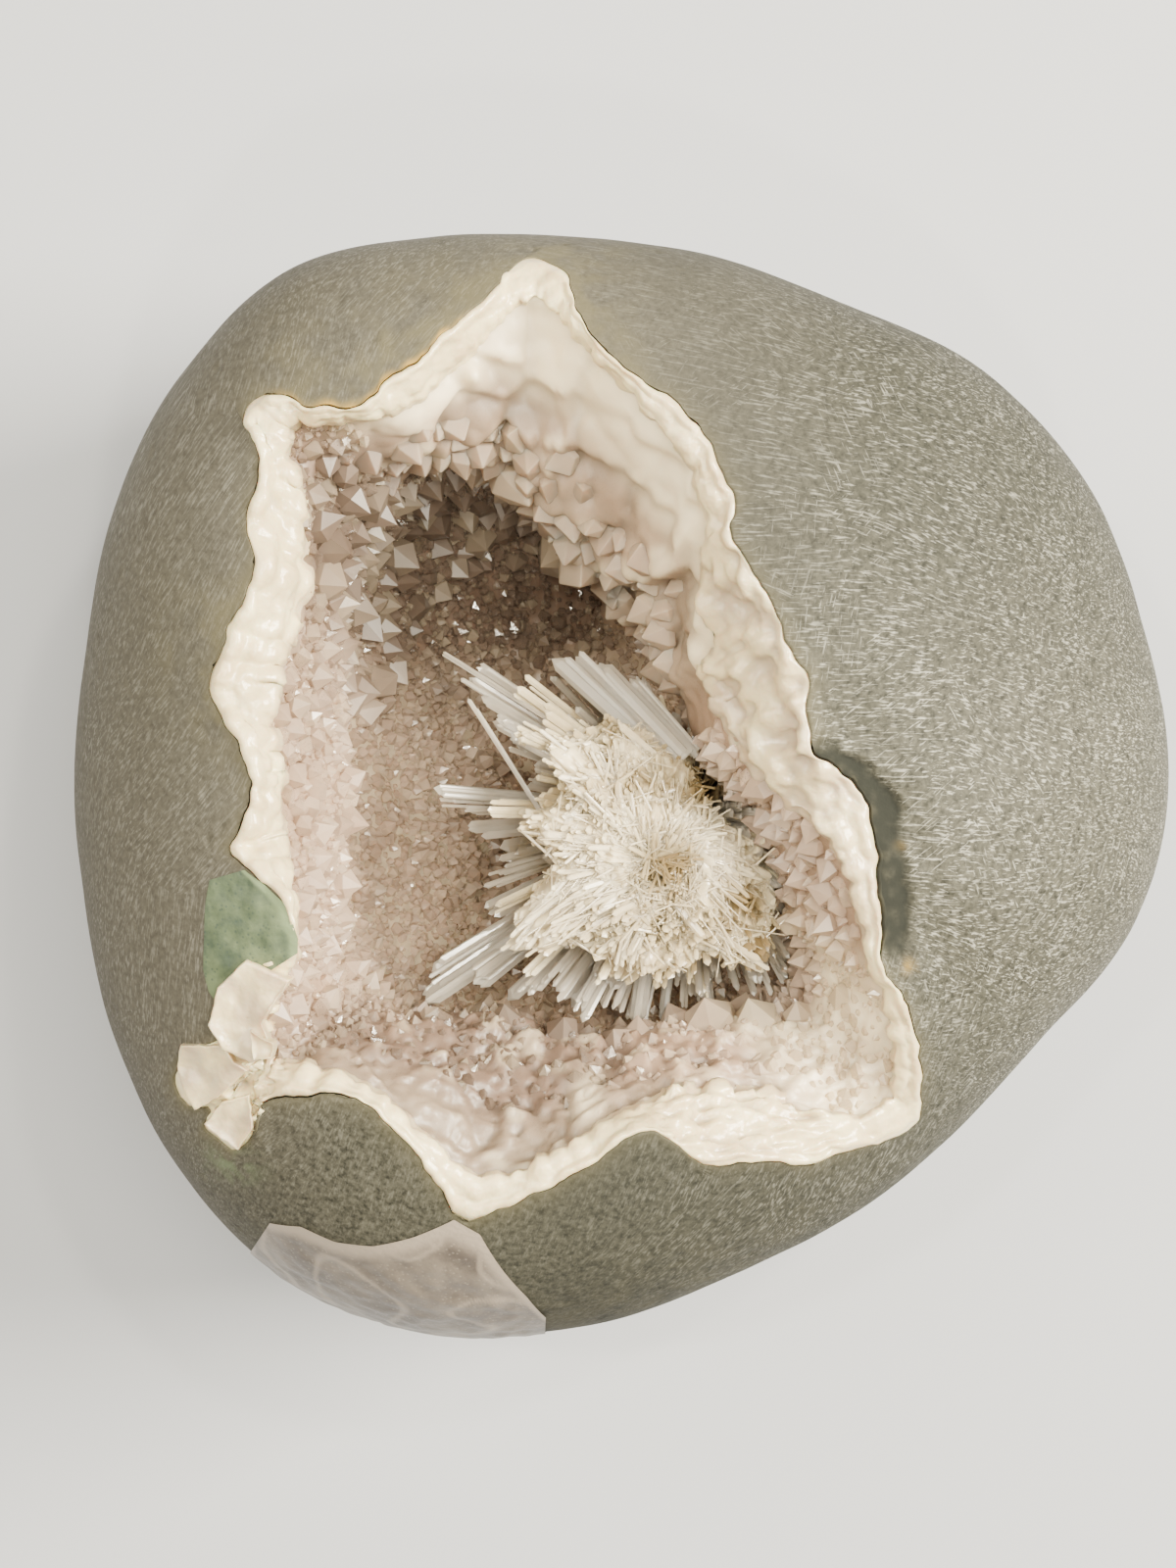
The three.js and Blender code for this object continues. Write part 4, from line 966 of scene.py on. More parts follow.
POINTS_PER_SIDE = 18
# share of the outline and depth of the rings down the side of a plate, and how many rings cover its top
FLAKE_SIDE = [(1.0, 2.2), (1.0, 0.3), (0.98, 0.1), (0.96, 0.0)]
FLAKE_TOP_RINGS = 14


def flake_points(outline, lift, tilt, seed):
    """Rings of a plate with sharp edges: its underside edge, its rim and its slightly wavy top."""
    corners = np.array(outline)
    steps = np.linspace(0, 1, POINTS_PER_SIDE, endpoint=False)[:, None]
    sides = [a + steps * (b - a) for a, b in zip(corners, np.roll(corners, -1, axis=0))]
    rim = np.concatenate(sides)
    rim = np.column_stack([rim, np.zeros(len(rim))])
    rim[:, 0] += 0.1 * wavy(rim, 0.7, seed)
    rim[:, 1] += 0.1 * wavy(rim, 0.7, seed + 1)
    middle = rim.mean(axis=0)
    base = float(top_height(middle[0], middle[1]))
    rings = []
    for share, sink in FLAKE_SIDE + [(share, 0.0) for share in np.linspace(0.9, 0.01, FLAKE_TOP_RINGS)]:
        ring = middle + share * (rim - middle)
        plane = base + lift + (ring[:, 0] - middle[0]) * tilt[0] + (ring[:, 1] - middle[1]) * tilt[1]
        follow = 0.55 * (top_height(ring[:, 0], ring[:, 1]) - base)
        bumps = 0.45 * wavy(ring, 1.8, seed + 2) + 0.12 * wavy(ring, 0.7, seed + 3) + 0.3 * share**6
        ring[:, 2] = plane + follow - sink + bumps
        rings.append(ring)
    return np.array(rings)


def build_flakes():
    """All plates as one piece."""
    points = []
    faces = []
    for k, (outline, lift, tilt) in enumerate(FLAKES):
        rings = flake_points(outline, lift, tilt, 50 + 5 * k)
        base = sum(len(block) for block in points)
        faces += [tuple(base + i for i in face) for face in ring_faces(len(rings), rings.shape[1], False)]
        points.append(rings.reshape(-1, 3))
    points = np.concatenate(points)
    piece = new_piece("white_flakes", points, faces, True)
    store(piece, "pinkish_and_crease_shade", np.clip(0.3 + 0.7 * wavy(points, 1.4, 48), 0, 0.65))
    store(piece, "stain", np.clip(0.25 * wavy(points, 1.5, 49), 0, 0.4))
    return piece


flakes = build_flakes()
belongs(flakes, "chalcedony_rim", CHALCEDONY)

# %% [markdown]
# ## The quartz lining
#
# Under the band the quartz starts as a milky ledge, turns over a lip and drops into a deep bowl. It could be
# one mesh with all its crystals, but a smooth lining with crystals stuck on it is easier to change. The
# lining is a stack of rings. Noise gives it round plates on the ledge and small faces in the bowl. The same
# finish serves the lining and both kinds of crystals: quartz is clear at its tips and milky at its root, so
# the three materials differ in how much light they let through.

# %% Quartz finish
def make_quartz(name, pale, deep, transmission, roughness, inner_light):
    """Quartz: transmission lets light through it, and inner_light scatters light inside it."""
    material, tree, shader = new_material(
        name, IOR=1.54, Transmission_Weight=transmission, Specular_IOR_Level=0.5,
        Subsurface_Weight=inner_light, Subsurface_Scale=0.002,
    )
    shader.inputs["Subsurface Radius"].default_value = (1.0, 0.7, 0.55)
    colour = cloudy(tree, 330.0, 2.0, deep, pale)
    # the shade tint is painted shade; the milky tint is milky quartz and also painted highlights on the rims
    # of the ledge's plates
    colour = tint(tree, mask(tree, "shade"), colour, (0.135, 0.09, 0.066))
    colour = tint(tree, mask(tree, "milky"), colour, (0.82, 0.70, 0.49))
    grain = use_group(tree, GRAIN, Size=4200.0, Fine_Size=6000.0)
    gloss = map_range(tree, 0.10, 0.22, 0.05, roughness)
    satin = math_node(tree, "MULTIPLY_ADD", None, 0.25, None)
    wire(
        tree,
        (colour, shader.inputs["Base Color"]),
        (grain.outputs["Specks"], gloss.inputs["Value"]),
        (mask(tree, "satin"), satin.inputs[0]),
        (gloss.outputs["Result"], satin.inputs[2]),
        (satin.outputs[0], shader.inputs["Roughness"]),
    )
    roughen(tree, shader, grain.outputs["Height"], 0.4, 0.02)
    return material


QUARTZ_BED = make_quartz("quartz_bed", (0.40, 0.27, 0.185), (0.24, 0.155, 0.105), 0.0, 0.42, 0.35)
QUARTZ_MILKY = make_quartz("milky_quartz", (0.52, 0.38, 0.275), (0.37, 0.25, 0.18), 0.35, 0.34, 0.7)
QUARTZ_CLEAR = make_quartz("clear_quartz", (0.88, 0.69, 0.53), (0.64, 0.46, 0.34), 0.55, 0.13, 0.0)

# %% Rings of the lining
def lining_rings():
    """Rings from under the band over the ledge and its lip to the deepest place of the bowl."""
    far = sector(spoke_angle, 38, 108, 8)[:, None]
    sink = spoke_drop[:, None] + 0.35 - 0.3 * far
    edge = on_top(averaged(spoke_inner, 7) - inner_normal * 0.6) - np.array([0, 0, 1.0]) * sink
    lip_radius = around(LIP, 1, spoke_angle)
    lip_height = around(LIP, 2, spoke_angle)
    lip = polar(spoke_angle, lip_radius, lip_height)
    ledge = 0.5 * (edge + lip)
    ledge[:, 2] += 0.9
    under = polar(spoke_angle, 0.45 * lip_radius + 0.55 * bowl_radius + 0.6, 0.5 * (lip_height + bowl_height))
    bowl = polar(spoke_angle, bowl_radius, bowl_height)
    floor = polar(spoke_angle, floor_radius, floor_height)
    inner = 0.5 * (floor + DEEPEST)
    inner[:, 2] = 0.28 * floor[:, 2] + 0.72 * DEEPEST[2]
    middle = floor * 0.02 + DEEPEST * 0.98
    return [edge, ledge, lip, under, bowl, floor, inner, middle]


def ledge_at(levels):
    """1 on the ledge between the band and the lip, 0 in the bowl."""
    return 1 - step_up(levels, 1.9, 2.6)


def far_side(points):
    """1 at the far side of the hollow."""
    return sector(angle_of(points[..., 0], points[..., 1]), 38, 122, 8)


def front_side(points):
    """1 at the front side of the hollow."""
    return sector(angle_of(points[..., 0], points[..., 1]), 226, 318, 8)


LEDGE_RINGS = 72
BOWL_RINGS = 66
LEDGE_END = 2.6
BOWL_END = 7
ledge_levels = np.linspace(0, LEDGE_END, LEDGE_RINGS)
lining_levels = np.concatenate([ledge_levels, np.linspace(LEDGE_END, BOWL_END, BOWL_RINGS)[1:]])
level_column = lining_levels[:, None]
lining = between(lining_rings(), lining_levels)
lining_outward = grid_normals(lining)
print("the lining is a stack of", len(lining), "rings")

# %% Relief of the lining
def softened(values, rounds):
    """Evens a grid of numbers out with its neighbours."""
    for _ in range(rounds):
        values = 0.5 * values + 0.25 * (np.roll(values, 1, axis=1) + np.roll(values, -1, axis=1))
        values[1:-1] = 0.5 * values[1:-1] + 0.25 * (values[:-2] + values[2:])
    return values


far_ledge = ledge_at(level_column) * far_side(lining)
front_ledge = ledge_at(level_column) * front_side(lining)
near_lip = step_up(level_column, 0.6, 1.5)
far_plates = softened(scallops(lining, 3.4, 34), 2)
front_plates = softened(scallops(lining, 2.4, 36), 2)
lining_relief = (
    0.35 * wavy(lining, 3.2, 31)
    + 0.15 * wavy(lining, 1.3, 32)
    + far_ledge * (0.35 + 0.65 * near_lip) * (2.1 * far_plates + 0.7 * lumpy(lining, 1.7, 35))
    + front_ledge * (0.8 * front_plates + 0.3 * lumpy(lining, 1.5, 37) + 0.25 * faceted(lining, 0.8, 40))
    + (1 - ledge_at(level_column)) * 0.3 * faceted(lining, 1.2, 38)
    + 1.3 * spot(lining, -10.1, 26.3, 0.75, 0.75) * ledge_at(level_column)
    - 1.2 * spot(lining, 4.7, 18.9, 0.6, 1.6) * ledge_at(level_column)
)
lining = lining + lining_outward * (lining_relief * step_up(lining_levels, 0.0, 0.45)[:, None])[..., None]
bed = new_piece("quartz_lining", lining, ring_faces(len(lining), SPOKE_COUNT, False), True)

# %% Shades of the quartz
def shade_of(points):
    """How much painted shade a place gets: under the overhanging ledge, in its notch and at the far left;
    also darker on the shelf in front.
    """
    pocket = spot(points, -7.0, 14.0, 11.0, 7.0) * (1 - step_up(points[..., 2], 36, 43))
    notch = spot(points, 4.7, 18.9, 0.8, 1.8)
    shelf = front_side(points) * step_up(points[..., 2], 30, 34) * step_up(-points[..., 1], 12, 15)
    shelf = shelf * (1 - 0.8 * step_up(points[..., 0], -7, 3))
    shelf = shelf * (1 - 0.9 * spot(points, -15.0, -14.0, 2.5, 2.5))
    corner = spot(points, -17.0, 17.0, 6.5, 9.0) * (1 - step_up(points[..., 1], 21, 25))
    return np.clip(0.95 * pocket + 0.5 * notch + 1.2 * shelf + 0.9 * corner, 0, 0.96)


def milky_of(points, levels):
    """Milky quartz: near white beside the band at the far right, paler on the shelf in front."""
    white = 1 - step_up(levels, 0.5, 1.1)
    far = far_side(points) * (0.12 + 0.88 * white)
    corner = sector(angle_of(points[..., 0], points[..., 1]), 303, 326, 5)
    cream = spot(points, -2.5, -20.5, 1.0, 1.4)
    front = front_side(points) * 0.15 * white + 0.6 * corner + 0.7 * cream
    return np.clip(ledge_at(levels) * (far + front) * (0.95 + 0.4 * wavy(points, 4.0, 33)), 0, 0.95)


# painted shade in the creases between the plates, painted highlights on the plates' rims, and a pale floor of
# the bowl
creases = 0.6 * far_ledge * step_up(-far_plates, -0.1, 0.35)
creases = creases + 0.4 * front_ledge * step_up(-front_plates, 0.0, 0.4)
creases = creases + 0.3 * far_ledge * near_lip
painted_rim_highlight = 0.4 * far_ledge * step_up(far_plates, 0.12, 0.3) + 0.25 * front_ledge * step_up(front_plates, 0.1, 0.3)
store(bed, "shade", np.clip(shade_of(lining) + creases, 0, 0.9))
light_floor = 0.42 * step_up(level_column, 2.4, 3.4) * (1 - np.clip(1.3 * shade_of(lining), 0, 1))
# the milky number also holds painted highlights on the rims of the plates
store(bed, "milky", np.clip(milky_of(lining, level_column) + painted_rim_highlight + light_floor, 0, 0.95))
belongs(bed, "quartz_druse", QUARTZ_BED)

# %% [markdown]
# ## Crystals that crowd each other
#
# Quartz crystals start at many points of the lining and grow until they meet. An even pattern would look
# like tiles, and a particle system can't say which crystal gives way. So places are thrown at random, zone
# by zone, and one is kept only where it has room beside those that are there. A few large knobs of the ledge
# come first, at the places where the photograph shows them.

# %% Zones and knobs of the crystals
# kind, from angle, to angle, from level, to level, how many to try, radius, its spread, length in radii
CRYSTAL_ZONES = [
    ["milky", 46, 124, 1.25, 2.3, 190, 1.2, 0.35, 1.0],
    ["milky", 40, 104, 1.9, 2.5, 60, 1.3, 0.3, 1.2],
    ["clear", 122, 150, 1.1, 2.5, 130, 1.1, 0.4, 1.4],
    ["clear", 236, 314, 1.9, 2.5, 60, 0.85, 0.4, 1.4],
    ["clear", 306, 326, 0.3, 1.9, 200, 0.45, 0.5, 0.8],
    ["clear", 318, 380, 0.45, 3.2, 600, 0.75, 0.5, 1.4],
    ["clear", 20, 104, 2.4, 4.4, 500, 1.2, 0.35, 1.4],
    ["clear", 98, 165, 2.3, 4.5, 600, 1.05, 0.4, 1.4],
    ["clear", 124, 225, 0.45, 3.2, 1300, 0.7, 0.5, 1.4],
    ["clear", 104, 250, 3.2, 5.2, 4200, 0.40, 0.5, 1.5],
    ["clear", 250, 380, 2.4, 5.2, 2400, 0.5, 0.4, 1.6],
    ["clear", 0, 360, 5.0, 6.9, 2600, 0.46, 0.5, 1.5],
    ["clear", 0, 360, 2.4, 6.9, 8000, 0.27, 0.35, 1.6],
    ["clear", 122, 230, 0.35, 2.4, 1800, 0.32, 0.35, 1.5],
    ["clear", 222, 326, 0.9, 2.4, 520, 0.42, 0.5, 0.9],
]
# single knobs of the ledge, by their tips in plan: x, y, radius, length in radii
KNOBS = [
    [-15.7, 21.0, 1.6, 1.5], [-12.9, 21.9, 1.7, 1.5], [-9.2, 21.3, 1.7, 1.6], [-6.8, 18.4, 1.9, 1.7],
    [-4.0, 15.7, 2.1, 1.7], [-1.0, 11.9, 1.9, 1.7], [1.7, 9.2, 1.7, 1.6], [-3.1, 12.9, 1.6, 1.3],
    [-17.6, 20.6, 1.3, 1.3], [4.9, -14.1, 1.9, 1.8], [7.9, -14.5, 1.75, 1.8], [10.5, -15.0, 1.6, 1.7],
    [-0.8, -16.0, 1.4, 1.4], [13.6, -13.0, 1.4, 1.5], [-7.8, -14.6, 1.5, 1.4], [-4.2, -15.4, 1.2, 1.4],
]
print(len(CRYSTAL_ZONES), "zones and", len(KNOBS), "knobs")

# %% Crystal scatter
Crystal = namedtuple("Crystal", "kind row foot radius length way")
CRYSTAL_SEED = 7
# a crystal has room when it is further from each other one than this share of both radii together
ROOM = 0.58
NEIGHBOURS = [(dx, dy, dz) for dx in range(-2, 3) for dy in range(-2, 3) for dz in range(-2, 3)]


def near_knobs():
    """Knobs that lean from the ledge over the hollow."""
    rows = np.nonzero(lining_levels < 2.5)[0]
    found = []
    for x, y, radius, length in KNOBS:
        plan = lining[rows][..., :2] - np.array([x, y])
        k, i = np.unravel_index(np.argmin(np.sum(plan**2, axis=-1)), plan.shape[:2])
        inward = unit(HOLLOW_MIDDLE - np.array([x, y]))
        way = unit(np.array([0.75 * inward[0], 0.75 * inward[1], 0.8]))
        tip = np.array([x, y, lining[rows[k], i, 2] + 0.9 * radius])
        kind = "milky" if x < 3 and y > 8 else "clear"
        found.append(Crystal(kind, rows[k], tip - way * radius * length, radius, radius * length, way))
    return found


def crowd(random, zones):
    """Throws crystals on the lining, in the order of the zones, and keeps those that have room."""
    taken = {}
    kept = []
    steps = np.linalg.norm(lining - np.roll(lining, 1, axis=1), axis=-1)
    falls = np.linalg.norm(np.gradient(lining, axis=0), axis=-1)
    turn = np.mod(spoke_angle, 360)

    def claim(crystal):
        key = tuple(np.floor(crystal.foot).astype(int))
        for dx, dy, dz in NEIGHBOURS:
            for other in taken.get((key[0] + dx, key[1] + dy, key[2] + dz), ()):
                apart = ROOM * (other.radius + crystal.radius)
                if np.sum((other.foot - crystal.foot) ** 2) < apart**2:
                    return
        taken.setdefault(key, []).append(crystal)
        kept.append(crystal)

    for knob in near_knobs():
        claim(knob)
    for kind, low, high, start, end, tries, radius, spread, length in zones:
        wanted = np.mod(turn - low, 360) <= high - low
        levels = (lining_levels >= start) & (lining_levels <= end)
        weight = (steps * falls * wanted[None, :] * levels[:, None]).ravel()
        for place in random.choice(weight.size, size=tries, p=weight / weight.sum()):
            k, i = divmod(int(place), SPOKE_COUNT)
            size = radius * (1 + spread * random.uniform(-1, 1))
            foot = lining[k, i] + random.uniform(-0.15, 0.15, 3)
            way = lining_outward[k, i] + 0.42 * random.uniform(-1, 1, 3) + np.array([0, 0, 0.15])
            claim(Crystal(kind, k, foot, size, size * length * random.uniform(0.8, 1.2), unit(way)))
    return kept


crystal_random = np.random.default_rng(CRYSTAL_SEED)
crystals = crowd(crystal_random, CRYSTAL_ZONES)
print(len(crystals), "crystals have room")

# %% [markdown]
# ## Faces of the crystals
#
# A quartz crystal is a six-sided prism with a pointed end, and no two of its faces are equally large. All
# the crystals of a kind are one mesh, because thousands of objects would be slow. Their roots are sunk into
# the lining. The milky ones of the ledge are blunt on the real geode. They could be shaped one by one, but a
# bevel modifier rounds the edges of all of them at once and keeps their faces flat. A number on the points
# of the larger crystals makes their faces satin.

# %% Crystal meshes
SIDES = 6


def crystal_mesh(places, outward, radii, lengths, turns, squeeze):
    """Points and faces of many six-sided pointed crystals at once."""
    count = len(places)
    helper = np.where(np.abs(outward[:, 2:3]) < 0.9, [[0.0, 0.0, 1.0]], [[1.0, 0.0, 0.0]])
    across = unit(np.cross(helper, outward))
    beside = np.cross(outward, across)
    angle = turns[:, None] + np.arange(SIDES)[None, :] * math.tau / SIDES
    ring = (
        np.cos(angle)[..., None] * across[:, None, :]
        + np.sin(angle)[..., None] * (beside * squeeze[:, None])[:, None, :]
    )
    turn = turns[:, None]
    uneven = 1.12 + 0.13 * np.cos(3 * (angle - turn)) + 0.16 * np.cos(angle * 2 + turn * 3)
    reach = lengths[:, None] - radii[:, None] * uneven
    sunk = outward[:, None, :] * (0.6 * radii)[:, None, None]
    raised = outward[:, None, :] * reach[..., None]
    foot = places[:, None, :] + ring * radii[:, None, None] - sunk
    shoulder = places[:, None, :] + ring * (0.97 * radii)[:, None, None] + raised
    lean = 0.2 * radii[:, None] * (across * np.cos(3 * turns)[:, None] + beside * np.sin(5 * turns)[:, None])
    tip = places + outward * lengths[:, None] + lean
    points = np.concatenate([foot, shoulder, tip[:, None, :]], axis=1)
    faces = []
    for n in range(count):
        base = n * (2 * SIDES + 1)
        for k in range(SIDES):
            j = (k + 1) % SIDES
            faces.append((base + k, base + j, base + SIDES + j, base + SIDES + k))
            faces.append((base + SIDES + k, base + SIDES + j, base + 2 * SIDES))
    return points, faces


def round_edges(piece, width):
    """Blunts the edges of a piece and keeps its faces flat."""
    rounding = piece.modifiers.new("rounded_edges", "BEVEL")
    rounding.width = width * MM
    rounding.segments = 3
    rounding.limit_method = "ANGLE"
    rounding.angle_limit = math.radians(20)
    rounding.harden_normals = True


# %% Crystal pieces
def build_crystals(name, kept, random, material, unevenness, rounding):
    """One piece from many crystals; rounding is the width of their bevel in millimetres."""
    rows = np.array([crystal.row for crystal in kept])
    places = np.array([crystal.foot for crystal in kept])
    radii = np.array([crystal.radius for crystal in kept])
    lengths = np.array([crystal.length for crystal in kept])
    outward = np.array([crystal.way for crystal in kept])
    turns = random.uniform(0, math.tau, len(kept))
    squeeze = random.uniform(0.75, 1.0, len(kept))
    points, faces = crystal_mesh(places, outward, radii, lengths, turns, squeeze)
    piece = new_piece(name, points, faces, rounding > 0)
    if rounding > 0:
        round_edges(piece, rounding)
    own = np.repeat(np.arange(len(kept)), 2 * SIDES + 1)
    flat = points.reshape(-1, 3)
    lightness = random.uniform(-unevenness, unevenness, len(kept))[own]
    store(piece, "satin", step_up(radii, 0.45, 0.9)[own])
    # painted shade from shade_of, and a random darker tone for some crystals
    store(piece, "shade", np.clip(shade_of(flat) + np.maximum(0, lightness), 0, 0.86))
    milky = milky_of(flat, lining_levels[rows][own]) - 2 * np.minimum(0, lightness)
    store(piece, "milky", np.clip(milky, 0, 0.9))
    belongs(piece, "quartz_druse", material)
    print(len(kept), "crystals in", name)


milky_crystals = [crystal for crystal in crystals if crystal.kind == "milky"]
clear_crystals = [crystal for crystal in crystals if crystal.kind == "clear"]
build_crystals("milky_crystals", milky_crystals, crystal_random, QUARTZ_MILKY, 0.06, 0.45)
build_crystals("clear_crystals", clear_crystals, crystal_random, QUARTZ_CLEAR, 0.14, 0.0)

# %% [markdown]
# ## The scolecite spray
#
# Scolecite grows as thin needles that all start at one point. In the middle they are so dense that they mat
# together. Needles alone would leave gaps there and need very many faces, so the middle is a dome with tufts
# and radial ridges, and needles grow out of it. A table gives the reach of the spray all the way round, as
# seen from above, and one helper turns an angle and a climb into a place in the spray.

# %% Shape of the spray
# angle, length in plan, height of the tips
NEEDLE_REACH = [
    [0, 3.8, 41], [32, 2.8, 41], [62, 3.4, 40], [88, 6.2, 38], [111, 10.3, 34], [122, 12.3, 37],
    [134, 13.4, 38], [147, 18.2, 38], [160, 13.5, 41], [177, 17.5, 40], [195, 14.5, 41],
    [214, 22.0, 36.5], [228, 16.5, 39], [241, 16.0, 38], [256, 15.0, 34], [275, 13.6, 34],
    [291, 13.4, 37], [305, 14.6, 33], [317, 12.8, 34], [338, 6.5, 40],
]
SPRAY_HEIGHT = 14.6
SPRAY_LEAN = np.array([-3.0, -3.2, 0.0])


def spray_point(angle, climb, share):
    """Place in the spray: angle in plan, climb from the outer tips (0) to the top (1), share of the way."""
    turn = np.radians(angle)
    reach = around(NEEDLE_REACH, 1, angle)
    rise = around(NEEDLE_REACH, 2, angle) - SPRAY_ROOT[2]
    low = np.arctan2(rise, reach)
    tilt = low + climb * (0.5 * np.pi - low)
    smooth = climb * climb * (3 - 2 * climb)
    length = np.hypot(reach, rise) * (1 - smooth) + SPRAY_HEIGHT * smooth
    plan = np.cos(tilt) * length
    offset = np.stack([plan * np.cos(turn), plan * np.sin(turn), np.sin(tilt) * length], axis=-1)
    lean = SPRAY_LEAN * np.asarray(smooth)[..., None]
    return SPRAY_ROOT + (offset + lean) * np.asarray(share)[..., None]


def core_share(angle, climb):
    """How far the matted middle of the spray reaches: most at its top, less towards the tips."""
    gap = 0.16 * sector(angle, 246, 282, 8) + 0.14 * sector(angle, 304, 328, 8)
    gap = gap - 0.12 * sector(angle, 288, 299, 5)
    return 0.48 + 0.44 * step_up(climb, 0.02, 0.5) - gap * (1 - step_up(climb, 0.3, 0.6))


print("the spray's top lies", round(float(spray_point(0.0, 1.0, 1.0)[2]), 1), "mm above the ground")

# %% Stains of the spray
# x, y, size along x and y, strength
STAINS = [
    [2.6, -5.2, 1.5, 1.1, 1.5], [7.9, -7.9, 1.3, 1.4, 1.2], [4.9, -0.4, 1.5, 1.1, 1.3],
    [-1.2, 3.9, 1.2, 1.0, 0.9], [1.9, 0.6, 2.6, 2.0, 0.4], [-6.6, -4.2, 1.6, 1.8, 0.6],
    [3.0, -9.2, 3.4, 2.0, 0.6], [-5.1, -1.0, 1.0, 0.9, 0.4], [1.5, -0.5, 2.4, 1.0, 0.25],
]


def stain_of(points):
    """Yellow-brown places in the spray."""
    total = sum(strength * spot(points, x, y, wide, deep) for x, y, wide, deep, strength in STAINS)
    beige = 0.2 * step_up(wavy(points, 3.4, 69), -0.1, 0.35)
    return np.clip(total * (0.85 + 0.7 * wavy(points, 0.9, 64)) + beige, 0, 0.95)


print("stain beside the root:", round(float(stain_of(np.array([2.6, -5.2, 40.0]))), 2))

# %% Scolecite finish
def make_scolecite(name, transmission, inner_light, dark, light):
    """Scolecite: silky when light scatters inside it, clear when light passes through it."""
    material, tree, shader = new_material(
        name, Roughness=0.28, IOR=1.52, Transmission_Weight=transmission,
        Subsurface_Weight=inner_light, Subsurface_Scale=0.0006, Coat_Weight=0.2, Coat_Roughness=0.1,
    )
    shader.inputs["Subsurface Radius"].default_value = (1.0, 0.95, 0.85)
    colour = cloudy(tree, 420.0, 2.4, dark, light)
    colour = tint(tree, mask(tree, "stain"), colour, (0.21, 0.14, 0.055))
    wire(tree, (colour, shader.inputs["Base Color"]))
    return material


SILKY_SCOLECITE = make_scolecite("silky_scolecite", 0.0, 0.5, (0.52, 0.42, 0.27), (0.83, 0.73, 0.51))
CLEAR_SCOLECITE = make_scolecite("clear_scolecite", 0.75, 0.0, (0.84, 0.76, 0.64), (0.97, 0.92, 0.84))

# %% Matted middle of the spray
CORE_SPOKES = 520
CORE_RINGS = 105


def build_core(material):
    """Matted middle of the spray: a dome with tufts and many radial ridges."""
    climbs = np.concatenate([[-0.9, -0.5, -0.2], np.linspace(0, 0.996, CORE_RINGS)])
    angle = np.arange(CORE_SPOKES) * 360.0 / CORE_SPOKES
    grid_angle, grid_climb = np.meshgrid(angle, climbs)
    rise = np.clip(grid_climb, 0, 1)
    share = core_share(grid_angle, rise)
    way = unit(spray_point(grid_angle, rise, np.ones_like(rise)) - SPRAY_ROOT)
    loose = 1 - step_up(rise, 0.1, 0.7)
    turn = np.radians(grid_angle)
    spread = np.stack([np.cos(turn) * 12, np.sin(turn) * 12, 2.0 * rise], axis=-1)
    tufts = (0.045 + 0.06 * loose) * wavy(way * 7, 1.0, 61) + 0.02 * wavy(way * 30, 1.0, 62)
    ridges = (0.02 + 0.05 * loose) * (wavy(spread, 1.0, 63) + 0.7 * wavy(spread * 2.6, 1.0, 68))
    share = share + tufts + ridges
    share = share - 0.08 * stain_of(spray_point(grid_angle, rise, share))
    points = spray_point(grid_angle, rise, share)
    # the three lowest rings draw the border of the dome down and inwards, to the root
    below = np.minimum(grid_climb, 0)
    points[..., 2] += 7 * below
    points[..., :2] += (SPRAY_ROOT[:2] - points[..., :2]) * (-0.5 * below)[..., None]
    piece = new_piece("scolecite_core", points, ring_faces(len(climbs), CORE_SPOKES, False), True)
    store(piece, "stain", stain_of(points))
    belongs(piece, "scolecite_spray", material)


build_core(SILKY_SCOLECITE)

# %% [markdown]
# ## Needles of the spray
#
# Hair would be quick to make but has no faces to catch the light, so each needle is a real six-sided prism
# with a slanting end. The same helper that makes the crystals makes them. Needles differ by where they
# stand. Silk fibres lie on the matted middle and fan out from its top. Short ones form a felt in clumps.
# Long flat strands lie side by side further down. At the border stand sheaves, whose needles are nearly
# parallel and end at about the same place, and broad flat blades that are clear as glass.

# %% Blades of the border
# flat blades at the border: angle, climb, share of the reach, half width, flatness
BLADES = [
    [154, 0.10, 0.98, 0.6, 0.35], [163, 0.12, 0.9, 0.6, 0.4], [175, 0.02, 1.02, 0.75, 0.55],
    [190, 0.1, 0.9, 0.5, 0.5], [199, 0.02, 0.98, 0.35, 0.6], [204, 0.0, 0.85, 0.45, 0.5],
    [212, 0.0, 0.98, 0.8, 0.35], [214.5, 0.0, 1.0, 0.9, 0.35], [218, 0.06, 0.92, 0.8, 0.35],
    [226, 0.02, 0.98, 0.6, 0.4], [232, 0.02, 0.98, 0.9, 0.35], [240, 0.03, 1.0, 0.7, 0.4],
    [246, 0.05, 0.95, 0.6, 0.45], [252, 0.04, 1.0, 0.8, 0.4], [262, 0.04, 1.0, 0.6, 0.5],
    [277, 0.1, 0.9, 0.55, 0.5], [284, 0.05, 0.95, 0.45, 0.5], [292, 0.1, 0.95, 0.9, 0.45],
    [298, 0.02, 0.95, 0.5, 0.5], [307, 0.02, 1.0, 0.4, 0.6],
]
